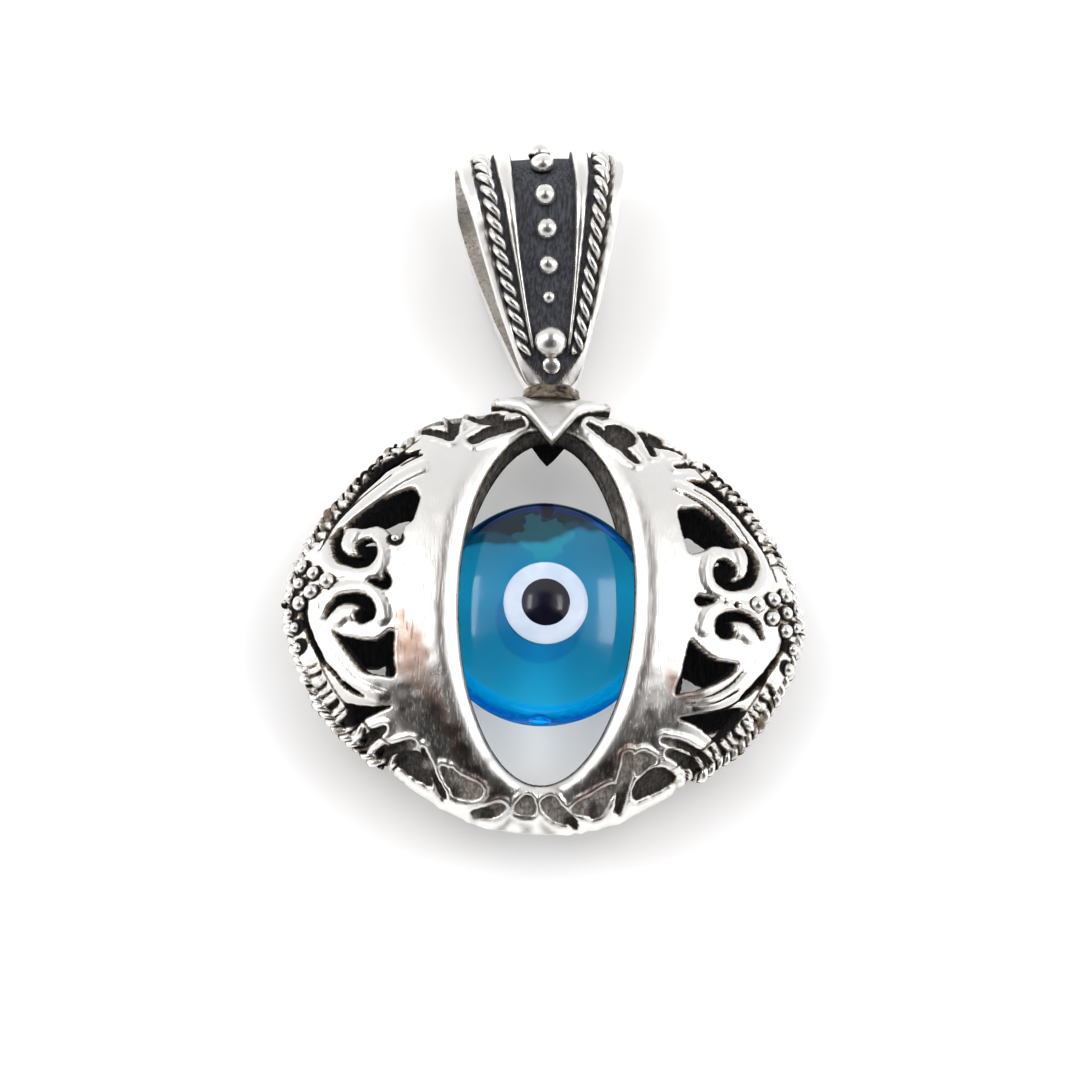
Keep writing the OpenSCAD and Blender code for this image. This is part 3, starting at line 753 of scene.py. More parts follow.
def case_grid(settings, relief, *marks):
    """The grid's values, spoke by spoke: outer point, its normal, inner point, its normal and the marks.
    The first rows follow the window's rounded edge closely, and the others widen towards the seam."""
    ends, turn = spoke_ends(settings.spokes, HALF_W, HALF_H)
    inner_w, inner_h = HALF_W - SEAM_WALL, HALF_H - SEAM_WALL
    inner_ends, _ = spoke_ends(settings.spokes, inner_w, inner_h)
    start = np.stack([WINDOW[0] * np.cos(turn), WINDOW[2] + WINDOW[1] * np.sin(turn)], -1)
    first = EDGE_REACH / np.linalg.norm(ends - start, axis=-1, keepdims=True)
    bend = 1 - np.cos(np.linspace(0, math.pi / 2, EDGE_ROWS, endpoint=False))
    rest = 1 - (1 - np.linspace(0, 1, settings.rows)) ** 1.6
    share = np.hstack([first * bend, first + (1 - first) * rest])[..., None]
    plan = start[:, None] + (ends - start)[:, None] * share
    inner_plan = start[:, None] + (inner_ends - start)[:, None] * share
    x, y = plan[..., 0], plan[..., 1]
    base = np.dstack([x, y, dome(x, y)])
    outer = base + dome_normal(x, y) * relief.at(x, y)[..., None]
    u, v = inner_plan[..., 0], inner_plan[..., 1]
    inner = np.dstack([u, v, dome(u, v, inner_w, inner_h, HALF_D - WALL)])
    least = 0.1 * (1 - ramp(0.3, 1.0, base[..., 2]))
    inner[..., 2] = np.minimum(inner[..., 2], np.maximum(outer[..., 2] - 0.12, 0) + least)
    normal = spoke_normals(outer)
    normal *= np.sign(np.einsum("ijk,ijk->ij", normal, dome_normal(x, y)).mean())
    back = spoke_normals(inner)
    back *= -np.sign(back[..., 2].mean())
    return np.dstack([outer, normal, inner, back, *(mark.at(x, y) for mark in marks)]), plan


def spoke_normals(grid):
    """Normals of a grid whose spokes go all the way round, from its steps across and along them."""
    wrapped = np.concatenate([grid[-1:], grid, grid[:1]])
    return unit(np.cross(np.gradient(wrapped, axis=0)[1:-1], np.gradient(grid, axis=1)))


def case_walls(points, edges, n):
    """Walls from the outer to the inner surface along the open edges, and a normal for each point there,
    which is the sum of the walls' own normals beside it."""
    p, q = edges.T
    across = np.cross(points[q + n] - points[p], points[q] - points[p + n])
    wall_normal = np.zeros((n, 3))
    np.add.at(wall_normal, p, across)
    np.add.at(wall_normal, q, across)
    wall_normal = unit(wall_normal)
    walls = np.concatenate([np.stack([q, p, p + n], -1), np.stack([q, p + n, q + n], -1)])
    a, b, c = (points[walls[:, k]] for k in range(3))
    if (np.cross(b - a, c - a) * wall_normal[walls[:, 0] % n]).sum() < 0:
        wall_normal = -wall_normal
    return walls, wall_normal


def reshaped(points):
    """Points of the case moved so that its outline is fuller at the upper left and leaner at both lower
    corners: each place moves along Y by a bell curve in X that fades in towards the edge."""
    x, y = points[:, 0], points[:, 1]
    upper = bell(x, *UPPER_LEFT) * ramp(3, 7.5, y) * ramp(-2.9, -4.2, x)
    lower = bell(np.abs(x), *LOWER_CORNERS) * ramp(-3, -7, y)
    return points + np.stack([np.zeros(len(x)), upper + lower, np.zeros(len(x))], -1)


def on_case(x, y, lift, front):
    """A point on the front or rear of the case, in the frame, lifted along the surface's normal."""
    p = np.array([x, y, dome(x, y)]) + dome_normal(x, y) * lift
    return (p if front else p * [1, 1, -1]) + CASE_AT


def grains(rows, seed):
    """Small cast balls, each a little uneven: [centre, diameter, squash along its normal, normal]."""
    unit_points, triangles = ball()
    rng = np.random.RandomState(seed)
    parts = []
    for centre, size, squash, normal in rows:
        form = unit_points * (1 + 0.05 * ripple(unit_points + rng.uniform(0, 9, 3), 2.2, seed)[:, None])
        normal = np.asarray(normal, float)
        side = unit(np.cross(normal, [0.31, 0.95, 0.05]))
        axes = np.stack([side, np.cross(normal, side), normal])
        scale = np.array([1, 1 + rng.uniform(-.06, .06), squash])
        parts.append((np.asarray(centre) + (form * scale * size / 2) @ axes, triangles))
    return joined(parts)


def grain_soot(points, rows):
    """Oxide round the foot of each granule: it grows from the ball's middle down to its foot."""
    shade = []
    for ball_points, (centre, size, squash, normal) in zip(points.reshape(-1, BALL_POINTS, 3), rows):
        height = (ball_points - centre) @ np.asarray(normal) / (size * squash / 2)
        shade.append(0.9 * ramp(0.25, -0.45, height))
    return np.concatenate(shade)


def twisted(path, up, strand_r, offset, pitch, phase, wobble):
    """Two strands wound round a path: each centre circles the path once a pitch. Also returns the oxide
    in the nips between the strands and below them."""
    path = np.asarray(path, float)
    along = unit(np.gradient(path, axis=0))
    side = unit(np.cross(along, up))
    top = np.cross(side, along)
    run = np.concatenate([[0], np.cumsum(np.linalg.norm(np.diff(path, axis=0), axis=1))])
    parts = []
    for k in range(2):
        angle = TAU * run / pitch + math.pi * k + phase
        uneven = 1 + wobble * ripple(np.stack([run, np.full_like(run, k)], -1), pitch * 0.8, 11 + k)
        reach = (np.broadcast_to(offset, len(path)) * uneven)[:, None]
        centre = path + (np.cos(angle)[:, None] * side + np.sin(angle)[:, None] * top) * reach
        parts.append(tube(centre, np.broadcast_to(strand_r, len(path)) * uneven, STRAND_SIDES, top))
    points, triangles = joined(parts)
    size = np.mean(strand_r) + np.mean(offset)
    rings = points.reshape(2, -1, 3)[:, :-2].reshape(2, len(path), STRAND_SIDES, 3)
    from_path = (rings - path[:, None]) / size
    height = (from_path * top[:, None]).sum(-1)
    soot = np.maximum(ramp(0.82, 0.5, np.linalg.norm(from_path, axis=-1)), ramp(0.2, -0.3, height))
    soot = np.concatenate([soot.reshape(2, -1), np.full((2, 2), 0.8)], 1).ravel()
    return points, facing_out(points - points.mean(0), triangles), soot


# Materials


class Graph:
    """Places nodes in a tree and links them."""

    def __init__(self, tree):
        self.tree = tree
        self.column = 0

    def add(self, kind, values=None, **settings):
        """A node with its settings, and its sockets set to values or linked to other sockets."""
        node = self.tree.nodes.new(kind)
        self.column += 1
        node.location = (self.column % 8 * 220, -(self.column // 8) * 260)
        for key, value in settings.items():
            setattr(node, key, value)
        for key, value in (values or {}).items():
            if isinstance(value, bpy.types.NodeSocket):
                self.tree.links.new(value, node.inputs[key])
            else:
                node.inputs[key].default_value = value
        return node

    def math(self, operation, a, b=0.5, clamp=False):
        """The result of an operation on two values."""
        return self.add("ShaderNodeMath", {0: a, 1: b}, operation=operation, use_clamp=clamp).outputs[0]

    def span(self, value, low, high, to_low=0.0, to_high=1.0):
        """Smooth step of a value from low to high, put out from to_low to to_high."""
        return self.add("ShaderNodeMapRange", {"Value": value, "From Min": low, "From Max": high,
                                               "To Min": to_low, "To Max": to_high},
                        interpolation_type="SMOOTHSTEP").outputs[0]

    def blend(self, share, a, b):
        """Colour a where the share is 0, b where it is 1."""
        node = self.add("ShaderNodeMix", data_type="RGBA")
        for index, value in ((0, share), (6, a), (7, b)):
            if isinstance(value, bpy.types.NodeSocket):
                self.tree.links.new(value, node.inputs[index])
            else:
                node.inputs[index].default_value = value
        return node.outputs[2]

    def noise(self, where, scale, detail=3.0, rough=0.55):
        """Noise from 0 to 1, with the scale per metre."""
        return self.add("ShaderNodeTexNoise", {"Vector": where, "Scale": scale, "Detail": detail,
                                               "Roughness": rough}).outputs[0]

    def away(self, where, place):
        """Distance in metres from a place given in millimetres."""
        values = {0: where, 1: tuple(v * MM for v in place)}
        return self.add("ShaderNodeVectorMath", values, operation="DISTANCE").outputs["Value"]


def new_group(name, inputs, outputs):
    """An empty shader node group with named sockets."""
    tree = bpy.data.node_groups.new(name, "ShaderNodeTree")
    for way, sockets in (("INPUT", inputs), ("OUTPUT", outputs)):
        for label, kind, *value in sockets:
            socket = tree.interface.new_socket(label, in_out=way, socket_type="NodeSocket" + kind)
            if value:
                socket.default_value = value[0]
    graph = Graph(tree)
    return graph, graph.add("NodeGroupInput").outputs, graph.add("NodeGroupOutput")


def rgba(colour):
    """A colour with full alpha."""
    return (*colour, 1.0)


def silver_group():
    """Old polished silver: soot where the oxide is high, with brown borders and fine lines in it, grey
    brushed tarnish that also carries painted dark reflections, painted warm copper-coloured reflections and
    fine scratches in two directions."""
    name = "aged_silver"
    if name in bpy.data.node_groups:
        return bpy.data.node_groups[name]
    g, source, sink = new_group(
        name,
        [("Oxide", "Float", 0.0), ("Tarnish", "Float", 0.0), ("Blush", "Float", 0.0),
         ("Polish", "Color", rgba(CLEAN_SILVER)), ("Stain", "Color", (0.34, 0.28, 0.21, 1)),
         ("Soot", "Color", rgba(SOOT)),
         ("Gloss", "Float", 0.24), ("Brushing", "Float", 0.5)],
        [("Color", "Color"), ("Metallic", "Float"), ("Roughness", "Float"), ("Height", "Float")])
    where = g.add("ShaderNodeTexCoord").outputs["Object"]
    blotch = g.noise(where, 700.0, 5.0, 0.6)
    grit = g.noise(where, 4200.0, 4.0, 0.65)
    uneven = g.math("MULTIPLY", g.math("SUBTRACT", blotch, 0.5), 0.4)
    gritty = g.math("MULTIPLY", g.math("SUBTRACT", grit, 0.5), 0.45)
    patchy = g.math("MULTIPLY", g.math("ADD", uneven, gritty), g.span(source["Oxide"], 0.0, 0.12, 0.35, 1.0))
    mask = g.math("ADD", source["Oxide"], patchy)
    brown = g.span(mask, 0.24, 0.45)
    black = g.span(mask, 0.36, 0.62)
    scratch = None
    for turn, seed in ((0.25, 0.0), (1.35, 3.0)):
        lined = g.add("ShaderNodeMapping", {"Vector": where, "Location": (seed * MM, 0, 0),
                                            "Rotation": (0, 0, turn), "Scale": (1.0, 0.06, 1.0)}).outputs[0]
        one = g.span(g.noise(lined, 9000.0, 2.0, 0.5), 0.56, 0.7)
        scratch = one if scratch is None else g.math("MAXIMUM", scratch, one)
    streaks = g.add("ShaderNodeMapping", {"Vector": where, "Scale": (1.0, 0.12, 1.0)}).outputs[0]
    brushed = g.math("ADD", g.noise(streaks, 2600.0, 4.0, 0.65), g.math("MULTIPLY", uneven, 0.5))
    # Share of brushed dark grey: real tarnish, and painted dark reflection where the case's patches lie
    worn = g.math("MULTIPLY", source["Tarnish"], g.span(brushed, 0.2, 0.65, 1.0, 0.6))
    # Painted warm reflection: a copper colour where the warm-reflection mark is set
    colour = g.blend(g.math("MULTIPLY", source["Blush"], g.span(blotch, 0.0, 0.7)), source["Polish"],
                     (0.44, 0.3, 0.235, 1))
    colour = g.blend(worn, colour, (0.085, 0.085, 0.08, 1))
    colour = g.blend(brown, colour, source["Stain"])
    lines = g.noise(g.add("ShaderNodeMapping", {"Vector": where, "Rotation": (0, 0, 0.5),
                                                "Scale": (1.0, 0.15, 1.0)}).outputs[0], 8200.0, 3.0, 0.6)
    soot = g.blend(worn, source["Soot"], (0.28, 0.26, 0.235, 1))
    soot = g.add("ShaderNodeVectorMath", {0: soot, 1: g.span(lines, 0.35, 0.68, 0.65, 1.6)},
                 operation="MULTIPLY").outputs[0]
    colour = g.blend(black, colour, soot)
    g.tree.links.new(colour, sink.inputs["Color"])
    g.tree.links.new(g.span(black, 0.0, 1.0, 1.0, 0.0), sink.inputs["Metallic"])
    rough = g.math("ADD", source["Gloss"], g.math("MULTIPLY", blotch, 0.1))
    rough = g.math("ADD", rough, g.math("MULTIPLY", scratch, g.math("MULTIPLY", source["Brushing"], 0.16)))
    rough = g.math("ADD", rough, g.math("MULTIPLY", brown, 0.28), clamp=True)
    g.tree.links.new(rough, sink.inputs["Roughness"])
    height = g.math("ADD", g.math("MULTIPLY", g.math("MULTIPLY", scratch, -0.5), source["Brushing"]),
                    g.math("MULTIPLY", grit, 0.5))
    height = g.math("ADD", height, g.math("MULTIPLY", g.math("MULTIPLY", grit, black), 3.0))
    g.tree.links.new(height, sink.inputs["Height"])
    return g.tree


def empty_material(name):
    """A new material without nodes, and a graph to fill it."""
    material = bpy.data.materials.new(name)
    material.use_nodes = True
    material.node_tree.nodes.clear()
    return material, Graph(material.node_tree)


def silver(name, gloss=0.24, brushing=0.5, polish=CLEAN_SILVER, soot=SOOT):
    """Silver with its oxide, its tarnish with painted dark reflections, and its painted warm reflections,
    read from the pieces' own attributes.
    """
    if name in bpy.data.materials:
        return bpy.data.materials[name]
    material, g = empty_material(name)
    look = g.add("ShaderNodeGroup", node_tree=silver_group())
    constants = {"Gloss": gloss, "Brushing": brushing, "Polish": rgba(polish), "Soot": rgba(soot)}
    for key, value in constants.items():
        look.inputs[key].default_value = value
    for key in ("Oxide", "Tarnish", "Blush"):
        attribute = g.add("ShaderNodeAttribute", attribute_name=key.lower())
        g.tree.links.new(attribute.outputs["Fac"], look.inputs[key])
    bump = g.add("ShaderNodeBump", {"Strength": 0.5, "Distance": 0.012 * MM,
                                    "Height": look.outputs["Height"]})
    shader = g.add("ShaderNodeBsdfPrincipled", {
        "Base Color": look.outputs["Color"], "Metallic": look.outputs["Metallic"],
        "Roughness": look.outputs["Roughness"], "Specular IOR Level": 0.06, "Normal": bump.outputs[0]})
    g.add("ShaderNodeOutputMaterial", {"Surface": shader.outputs[0]})
    return material


def bead_tone(g, settings, where, local, up, flank):
    """Colour of the bead's surface from the place on it, in metres: painted light towards the bottom, painted
    shade that darkens and greys it upwards and over the top beyond a ragged border, a pale patch there, a
    painted blue shadow of the white round its lower side, painted light on the lower flank and painted shade
    on its upper part."""
    x, y = g.add("ShaderNodeSeparateXYZ", {0: local}).outputs[:2]
    # Masks: painted shade over the top beyond a ragged border, a pale patch, the painted shadow of the white,
    # and the lit and shaded parts of the flank
    above = g.math("SUBTRACT", up, g.span(x, -0.6 * MM, 1.6 * MM, 3.3 * MM, 4.3 * MM))
    ragged = g.math("MULTIPLY", g.math("SUBTRACT", g.noise(where, 900.0, 4.0, 0.6), 0.5), 2.6 * MM)
    patch = g.span(g.math("ADD", g.away(local, (-0.2, 3.35, 2.2)), ragged), 1.25 * MM, 1.15 * MM)
    under = g.span(g.away(local, (-0.25, -0.85, 2.4)), 2.3 * MM, 2.1 * MM)
    lit_flank = g.math("MULTIPLY", flank, g.span(up, 3.2 * MM, 2.2 * MM))
    shaded_flank = g.math("MULTIPLY", flank, g.span(y, 0.8 * MM, 2.6 * MM))
    tone = rgba(settings.glass_tint)
    # In order: painted light towards the bottom, painted shade upwards, painted shade over the top, a pale
    # patch, the painted shadow of the white, painted light on the lower flank, painted shade on the upper
    # flank
    for share, colour in (
            (g.span(y, -1.0 * MM, -4.0 * MM), (0.2, 0.72, 1.0)),
            (g.span(y, 0.4 * MM, 3.2 * MM), (0.17, 0.4, 0.58)),
            (g.span(above, 0.0, 0.3 * MM), (0.01, 0.025, 0.035)),
            (patch, (0.3, 0.68, 0.62)),
            (under, (0.02, 0.4, 0.85)),
            (lit_flank, (0.0, 0.5, 1.0)),
            (shaded_flank, (0.0, 0.02, 0.06))):
        tone = g.blend(share, tone, rgba(colour))
    return tone


def sea_glass(settings):
    """Clear turquoise glass: transmission coloured by absorption inside and by tints on the surface that
    carry painted light and shade. The lower flank has a faint painted glow, an emission, and its normals lean
    upwards.
    Shadow and diffuse rays go straight through, tinted."""
    material, g = empty_material("sea_glass")
    where = g.add("ShaderNodeTexCoord").outputs["Object"]
    worn = g.span(g.noise(where, 900.0, 4.0, 0.6), 0.45, 0.75, 0.08, 0.14)
    local = g.add("ShaderNodeVectorMath", {0: where, 1: tuple(BEAD_AT * MM)}, operation="SUBTRACT").outputs[0]
    wavy = g.math("MULTIPLY", g.math("SUBTRACT", g.noise(where, 420.0, 3.0, 0.5), 0.5), 1.6 * MM)
    up = g.math("ADD", g.add("ShaderNodeSeparateXYZ", {0: local}).outputs["Y"], wavy)
    flat = g.add("ShaderNodeVectorMath", {0: local, 1: (1, 1, 0)}, operation="MULTIPLY").outputs[0]
    out = g.add("ShaderNodeVectorMath", {0: flat}, operation="LENGTH").outputs["Value"]
    flank = g.span(out, (BEAD_R - 0.55) * MM, (BEAD_R - 0.3) * MM)
    tone = bead_tone(g, settings, where, local, up, flank)
    # Painted glow on the lower flank: an emission in streaks that stands in for light in the rim
    low = g.math("MULTIPLY", flank, g.span(up, 0.5 * MM, -2.5 * MM))
    streak = g.span(g.noise(where, 2400.0, 3.0, 0.6), 0.35, 0.7, 0.55, 1.0)
    glow = g.blend(g.math("MULTIPLY", low, streak), (0, 0, 0, 1), rgba(settings.painted_rim_glow))
    lean = g.add("ShaderNodeCombineXYZ", {2: g.math("MULTIPLY", low, 0.5)}).outputs[0]
    facing = g.add("ShaderNodeVectorMath", {0: g.add("ShaderNodeNewGeometry").outputs["Normal"], 1: lean})
    facing = g.add("ShaderNodeVectorMath", {0: facing.outputs[0]}, operation="NORMALIZE").outputs[0]
    bump = g.add("ShaderNodeBump", {"Strength": 0.25, "Distance": 0.05 * MM, "Normal": facing,
                                    "Height": g.noise(where, 380.0, 2.0, 0.4)})
    glass = g.add("ShaderNodeBsdfPrincipled", {
        "Base Color": tone, "Metallic": 0.0, "Emission Color": glow, "Emission Strength": 1.0,
        "Roughness": worn, "IOR": 1.5, "Transmission Weight": 1.0, "Specular IOR Level": 0.25,
        "Normal": bump.outputs[0]})
    clear = g.add("ShaderNodeBsdfTransparent", {"Color": rgba(settings.shadow_tint)})
    path = g.add("ShaderNodeLightPath").outputs
    direct = g.math("MAXIMUM", path["Is Shadow Ray"], path["Is Diffuse Ray"])
    mixed = g.add("ShaderNodeMixShader", {0: direct, 1: glass.outputs[0], 2: clear.outputs[0]})
    inside = g.add("ShaderNodeVolumeAbsorption", {"Color": rgba(settings.glass_colour),
                                                  "Density": settings.glass_density})
    seen = g.add("ShaderNodeMixShader", {0: direct, 1: inside.outputs[0]})
    g.add("ShaderNodeOutputMaterial", {"Surface": mixed.outputs[0], "Volume": seen.outputs[0]})
    return material


def inlay_glass(name, colour, second, roughness, mirror):
    """Opaque glass with slow swirls of a second colour and a soft gloss."""
    material, g = empty_material(name)
    where = g.add("ShaderNodeTexCoord").outputs["Object"]
    swirl = g.span(g.noise(where, 650.0, 3.0, 0.5), 0.35, 0.7)
    tone = g.blend(swirl, rgba(colour), rgba(second))
    rough = g.span(g.noise(where, 2600.0, 3.0, 0.6), 0.3, 0.8, roughness, roughness + 0.12)
    bump = g.add("ShaderNodeBump", {"Strength": 0.2, "Distance": 0.02 * MM,
                                    "Height": g.noise(where, 1500.0, 3.0, 0.5)})
    shader = g.add("ShaderNodeBsdfPrincipled", {
        "Base Color": tone, "Roughness": rough, "IOR": 1.5, "Specular IOR Level": mirror,
        "Normal": bump.outputs[0]})
    g.add("ShaderNodeOutputMaterial", {"Surface": shader.outputs[0]})
    return material


# Settings


class PendantCase(bpy.types.PropertyGroup):
    window_edge: FloatProperty(name="Window edge", description="Radius of the window's rounded edge",
                               default=1.15 * MM, unit="LENGTH", precision=6)
    opening_edge: FloatProperty(name="Opening edge", description="Radius of the openings' rounded edges",
                                default=0.14 * MM, unit="LENGTH", precision=6)
    carving: FloatProperty(name="Carving", description="Depth of the carved triangles and slots",
                           default=0.3 * MM, unit="LENGTH", precision=6)
    spokes: IntProperty(name="Spokes", description="Grid lines round the case", default=600, min=60)
    rows: IntProperty(name="Rows", description="Grid lines from the window to the seam", default=72, min=12)
    gloss: FloatProperty(name="Roughness", description="Roughness of clean silver", default=0.24,
                         subtype="FACTOR", min=0, max=1)
    polish: FloatVectorProperty(name="Silver", description="Colour of clean silver", subtype="COLOR",
                                default=CLEAN_SILVER, min=0, max=1)


class PendantBail(bpy.types.PropertyGroup):
    width: FloatProperty(name="Width", description="Width over the crest", default=8.6 * MM,
                         unit="LENGTH", precision=6)
    height: FloatProperty(name="Height", description="Height of the bend above the foot", default=8.7 * MM,
                          unit="LENGTH", precision=6)
    depth: FloatProperty(name="Depth", description="Depth over the ridges", default=7.8 * MM,
                         unit="LENGTH", precision=6)
    strip: FloatProperty(name="Strip", description="Thickness of the strip", default=0.6 * MM,
                         unit="LENGTH", precision=6)
    ridge: FloatProperty(name="Ridge", description="Height of the raised ridges", default=0.35 * MM,
                         unit="LENGTH", precision=6)
    lean: FloatProperty(name="Lean", description="Sideways lean", default=math.radians(5), subtype="ANGLE")


class PendantBead(bpy.types.PropertyGroup):
    white: FloatProperty(name="White", description="Diameter of the white", default=4.2 * MM,
                         unit="LENGTH", precision=6)
    pupil: FloatProperty(name="Pupil", description="Diameter of the pupil", default=2.7 * MM,
                         unit="LENGTH", precision=6)
    hole: FloatProperty(name="Hole", description="Diameter of the drilled hole", default=1.0 * MM,
                        unit="LENGTH", precision=6)
    glass_colour: FloatVectorProperty(name="Glass", description="Colour that the glass lets through",
                                      subtype="COLOR", default=(0.0, 0.93, 0.995), min=0, max=1)
    glass_density: FloatProperty(name="Density", description="How strongly the glass absorbs, per metre",
                                 default=700.0, min=0)
    glass_tint: FloatVectorProperty(name="Tint", description="Colour of thin glass", subtype="COLOR",
                                    default=(0.25, 0.65, 0.93), min=0, max=1)
    # Colour of the painted glow, an emission, on the bead's lower flank
    painted_rim_glow: FloatVectorProperty(name="Rim glow", description="Light scattered inside the bead's rim",
                                  subtype="COLOR", default=(0.0, 0.11, 0.3), min=0, max=1)
    shadow_tint: FloatVectorProperty(name="Shadow tint", description="Colour of light that passes the bead",
                                     subtype="COLOR", default=(0.93, 0.97, 1.0), min=0, max=1)


class PendantStage(bpy.types.PropertyGroup):
    floor_colour: FloatVectorProperty(name="Floor", description="Colour of the floor", subtype="COLOR",
                                      default=(0.93, 0.93, 0.93), min=0, max=1)
    soft_light: FloatProperty(name="Surroundings", description="Brightness of the white tent", default=0.95,
                              min=0)
    fill_light: FloatProperty(name="Fill light", description="Power of the wide light above, never mirrored",
                              default=6.5, unit="POWER", min=0)
    box_light: FloatProperty(name="Small boxes", description="Power of each small box that glass mirrors",
                             default=0.17, unit="POWER", min=0)
    side_light: FloatProperty(name="Side lights", description="Power of each side light", default=0.5,
                              unit="POWER", min=0)


# Operators


class PENDANT_OT_case(bpy.types.Operator):
    """The two pierced halves of the case, with their openings, carving and crimped edge"""
    bl_idname = "pendant.case"
    bl_label = "Case"

    def execute(self, context):
        settings = context.scene.pendant_case
        metal = silver("case_silver", gloss=settings.gloss, brushing=0.9, polish=tuple(settings.polish))
        for name, front in (("case_front", True), ("case_rear", False)):
            points, faces, normals, (oxide, tarnish, blush) = case_half(settings, front)
            put_mesh(name, points, faces, metal, "silver", ("case",), oxide, normals, tarnish=tarnish,
                     blush=blush)
        return {"FINISHED"}


class PENDANT_OT_edge(bpy.types.Operator):
    """The rope along the seam and the granules at both tips"""
    bl_idname = "pendant.edge"
    bl_label = "Rope edge and granules"

    def execute(self, context):
        metal = silver("grain_silver")
        for name, (points, triangles, shade) in (("seam_rope", seam_rope()),
                                                 ("tip_granules", tip_granules())):
            points = reshaped(points - CASE_AT) + CASE_AT
            put_mesh(name, points, triangles, metal, "silver", ("case",), shade)
        return {"FINISHED"}


def seam_rope():
    """Two strands twisted along the case's outline, in four stretches from the tips to 0.6 of its half
    width. They thin out at their ends, and the upper ones also towards the middle."""
    steps, inset = 150, 0.05
    r = arc_radius(HALF_W, HALF_H)
    angle = np.linspace(math.acos(HALF_W / r) + 0.012, math.acos(0.6 * HALF_W / r), steps)
    parts = []
    for sx in (-1, 1):
        for sy in (-1, 1):
            path = np.stack([sx * (r - inset) * np.cos(angle),
                             sy * ((r - inset) * np.sin(angle) - (r - HALF_H)), np.zeros(steps)], -1)
            size = 0.85 + 0.15 * np.sin(np.linspace(0.1, math.pi - 0.1, steps)) ** 0.5
            if sy > 0:
                size *= 1 - 0.35 * ramp(0.35, 0.9, np.linspace(0, 1, steps))
            parts.append(twisted(path + CASE_AT, [0, 0, 1], 0.2 * size, 0.16, 1.05, phase=sx + sy,
                                 wobble=0.2))
    points, triangles = joined([part[:2] for part in parts])
    nips = np.concatenate([part[2] for part in parts])
    stain = 0.2 + 0.14 * ripple(points, 1.4, 21) + 0.12 * ramp(3, 5, points[:, 1] - CASE_AT[1])
    return points, triangles, np.clip(stain + 0.62 * nips, 0, 1)


def tip_granules():
    """The granules at the tips, partly sunk in the front and the rear. None hangs below the outline."""
    rows = []
    for side, (out, up, size) in both(TIP_GRAINS):
        for front in (True, False):
            x, y = shares_to_mm([[out, up]], side)[0]
            y = max(y, -max(float(chord(x, HALF_W, HALF_H)) - 0.12, 0))
            normal = dome_normal(x, y) * ([1, 1, 1] if front else [1, 1, -1])
            rows.append((on_case(x, y, 0.2 * size, front), 1.22 * size, 0.95, normal))
    points, triangles = grains(rows, 31)
    return points, triangles, grain_soot(points, rows)


class PENDANT_OT_collar(bpy.types.Operator):
    """The folded collar over the top of the case, with its rolled edges, and the neck on it"""
    bl_idname = "pendant.collar"
    bl_label = "Collar"

    def execute(self, context):
        metal = silver("collar_silver", gloss=0.28, brushing=1.0, polish=(0.88, 0.87, 0.85))
        for name, (points, triangles, shade), crease in (("collar_sheet", collar_sheet(), 60),
                                                         ("collar_neck", neck_form(), 50)):
            put_mesh(name, points, triangles, metal, "silver", ("collar",), shade,
                     crease=math.radians(crease))
        return {"FINISHED"}


def collar_sheet():
    """The collar: at each x a sheet runs over the top edge from the front outline to the rear one. Its
    outer face is the lens form grown by the thickness, its edges are rounded and slightly raised."""
    cols, rows = 73, 96
    x = COLLAR_HALF * (0.25 * np.sin(np.linspace(-math.pi / 2, math.pi / 2, cols))
                       + 0.75 * np.linspace(-1, 1, cols))
    knots, *borders = np.transpose(COLLAR_BORDER)
    c = chord(x, HALF_W, HALF_H)
    low, high = (np.arcsin(np.clip(np.interp(np.abs(x), knots, border) / c, -1, 1)) for border in borders)
    angle = np.linspace(0, 1, rows)[None, :] * (math.pi - low - high)[:, None] + low[:, None]
    along = (angle - low[:, None]) * c[:, None] * 0.55
    border = np.minimum(np.minimum(along, along[:, ::-1]), (COLLAR_HALF - np.abs(x))[:, None] + 0.02)
    raised = bell(border, 0.035, 0.28, 0.14) - rounding(np.maximum(border, 0), 0.3) * 0.9
    lift = COLLAR_GAP + COLLAR_T + raised
    shape = np.stack([np.repeat(x[:, None], rows, 1), c[:, None] * np.sin(angle),
                      HALF_D / HALF_H * c[:, None] * np.cos(angle)], -1)
    slope = x / np.sqrt(arc_radius(HALF_W, HALF_H) ** 2 - x * x)
    normal = unit(np.stack([np.repeat(slope[:, None], rows, 1), np.sin(angle),
                            HALF_H / HALF_D * np.cos(angle)], -1))
    uneven = 0.012 * ripple(shape, 2.0, 8)
    outer = shape + normal * (lift + uneven)[..., None]
    inner = shape + normal * COLLAR_GAP
    points, triangles = capped(np.concatenate([outer, inner[:, ::-1]], 1))
    shade = np.concatenate([bell(border, 0.2, 0.55, 0.15) + 0.08, np.full(border.shape, 0.9)], 1)
    wing = 0.25 * ramp(2.2, COLLAR_HALF, np.abs(points[:, 0]))
    shade = np.concatenate([shade.ravel(), [0.5, 0.5]]) + wing
    return points + CASE_AT, facing_out(points - points.mean(0), triangles), shade


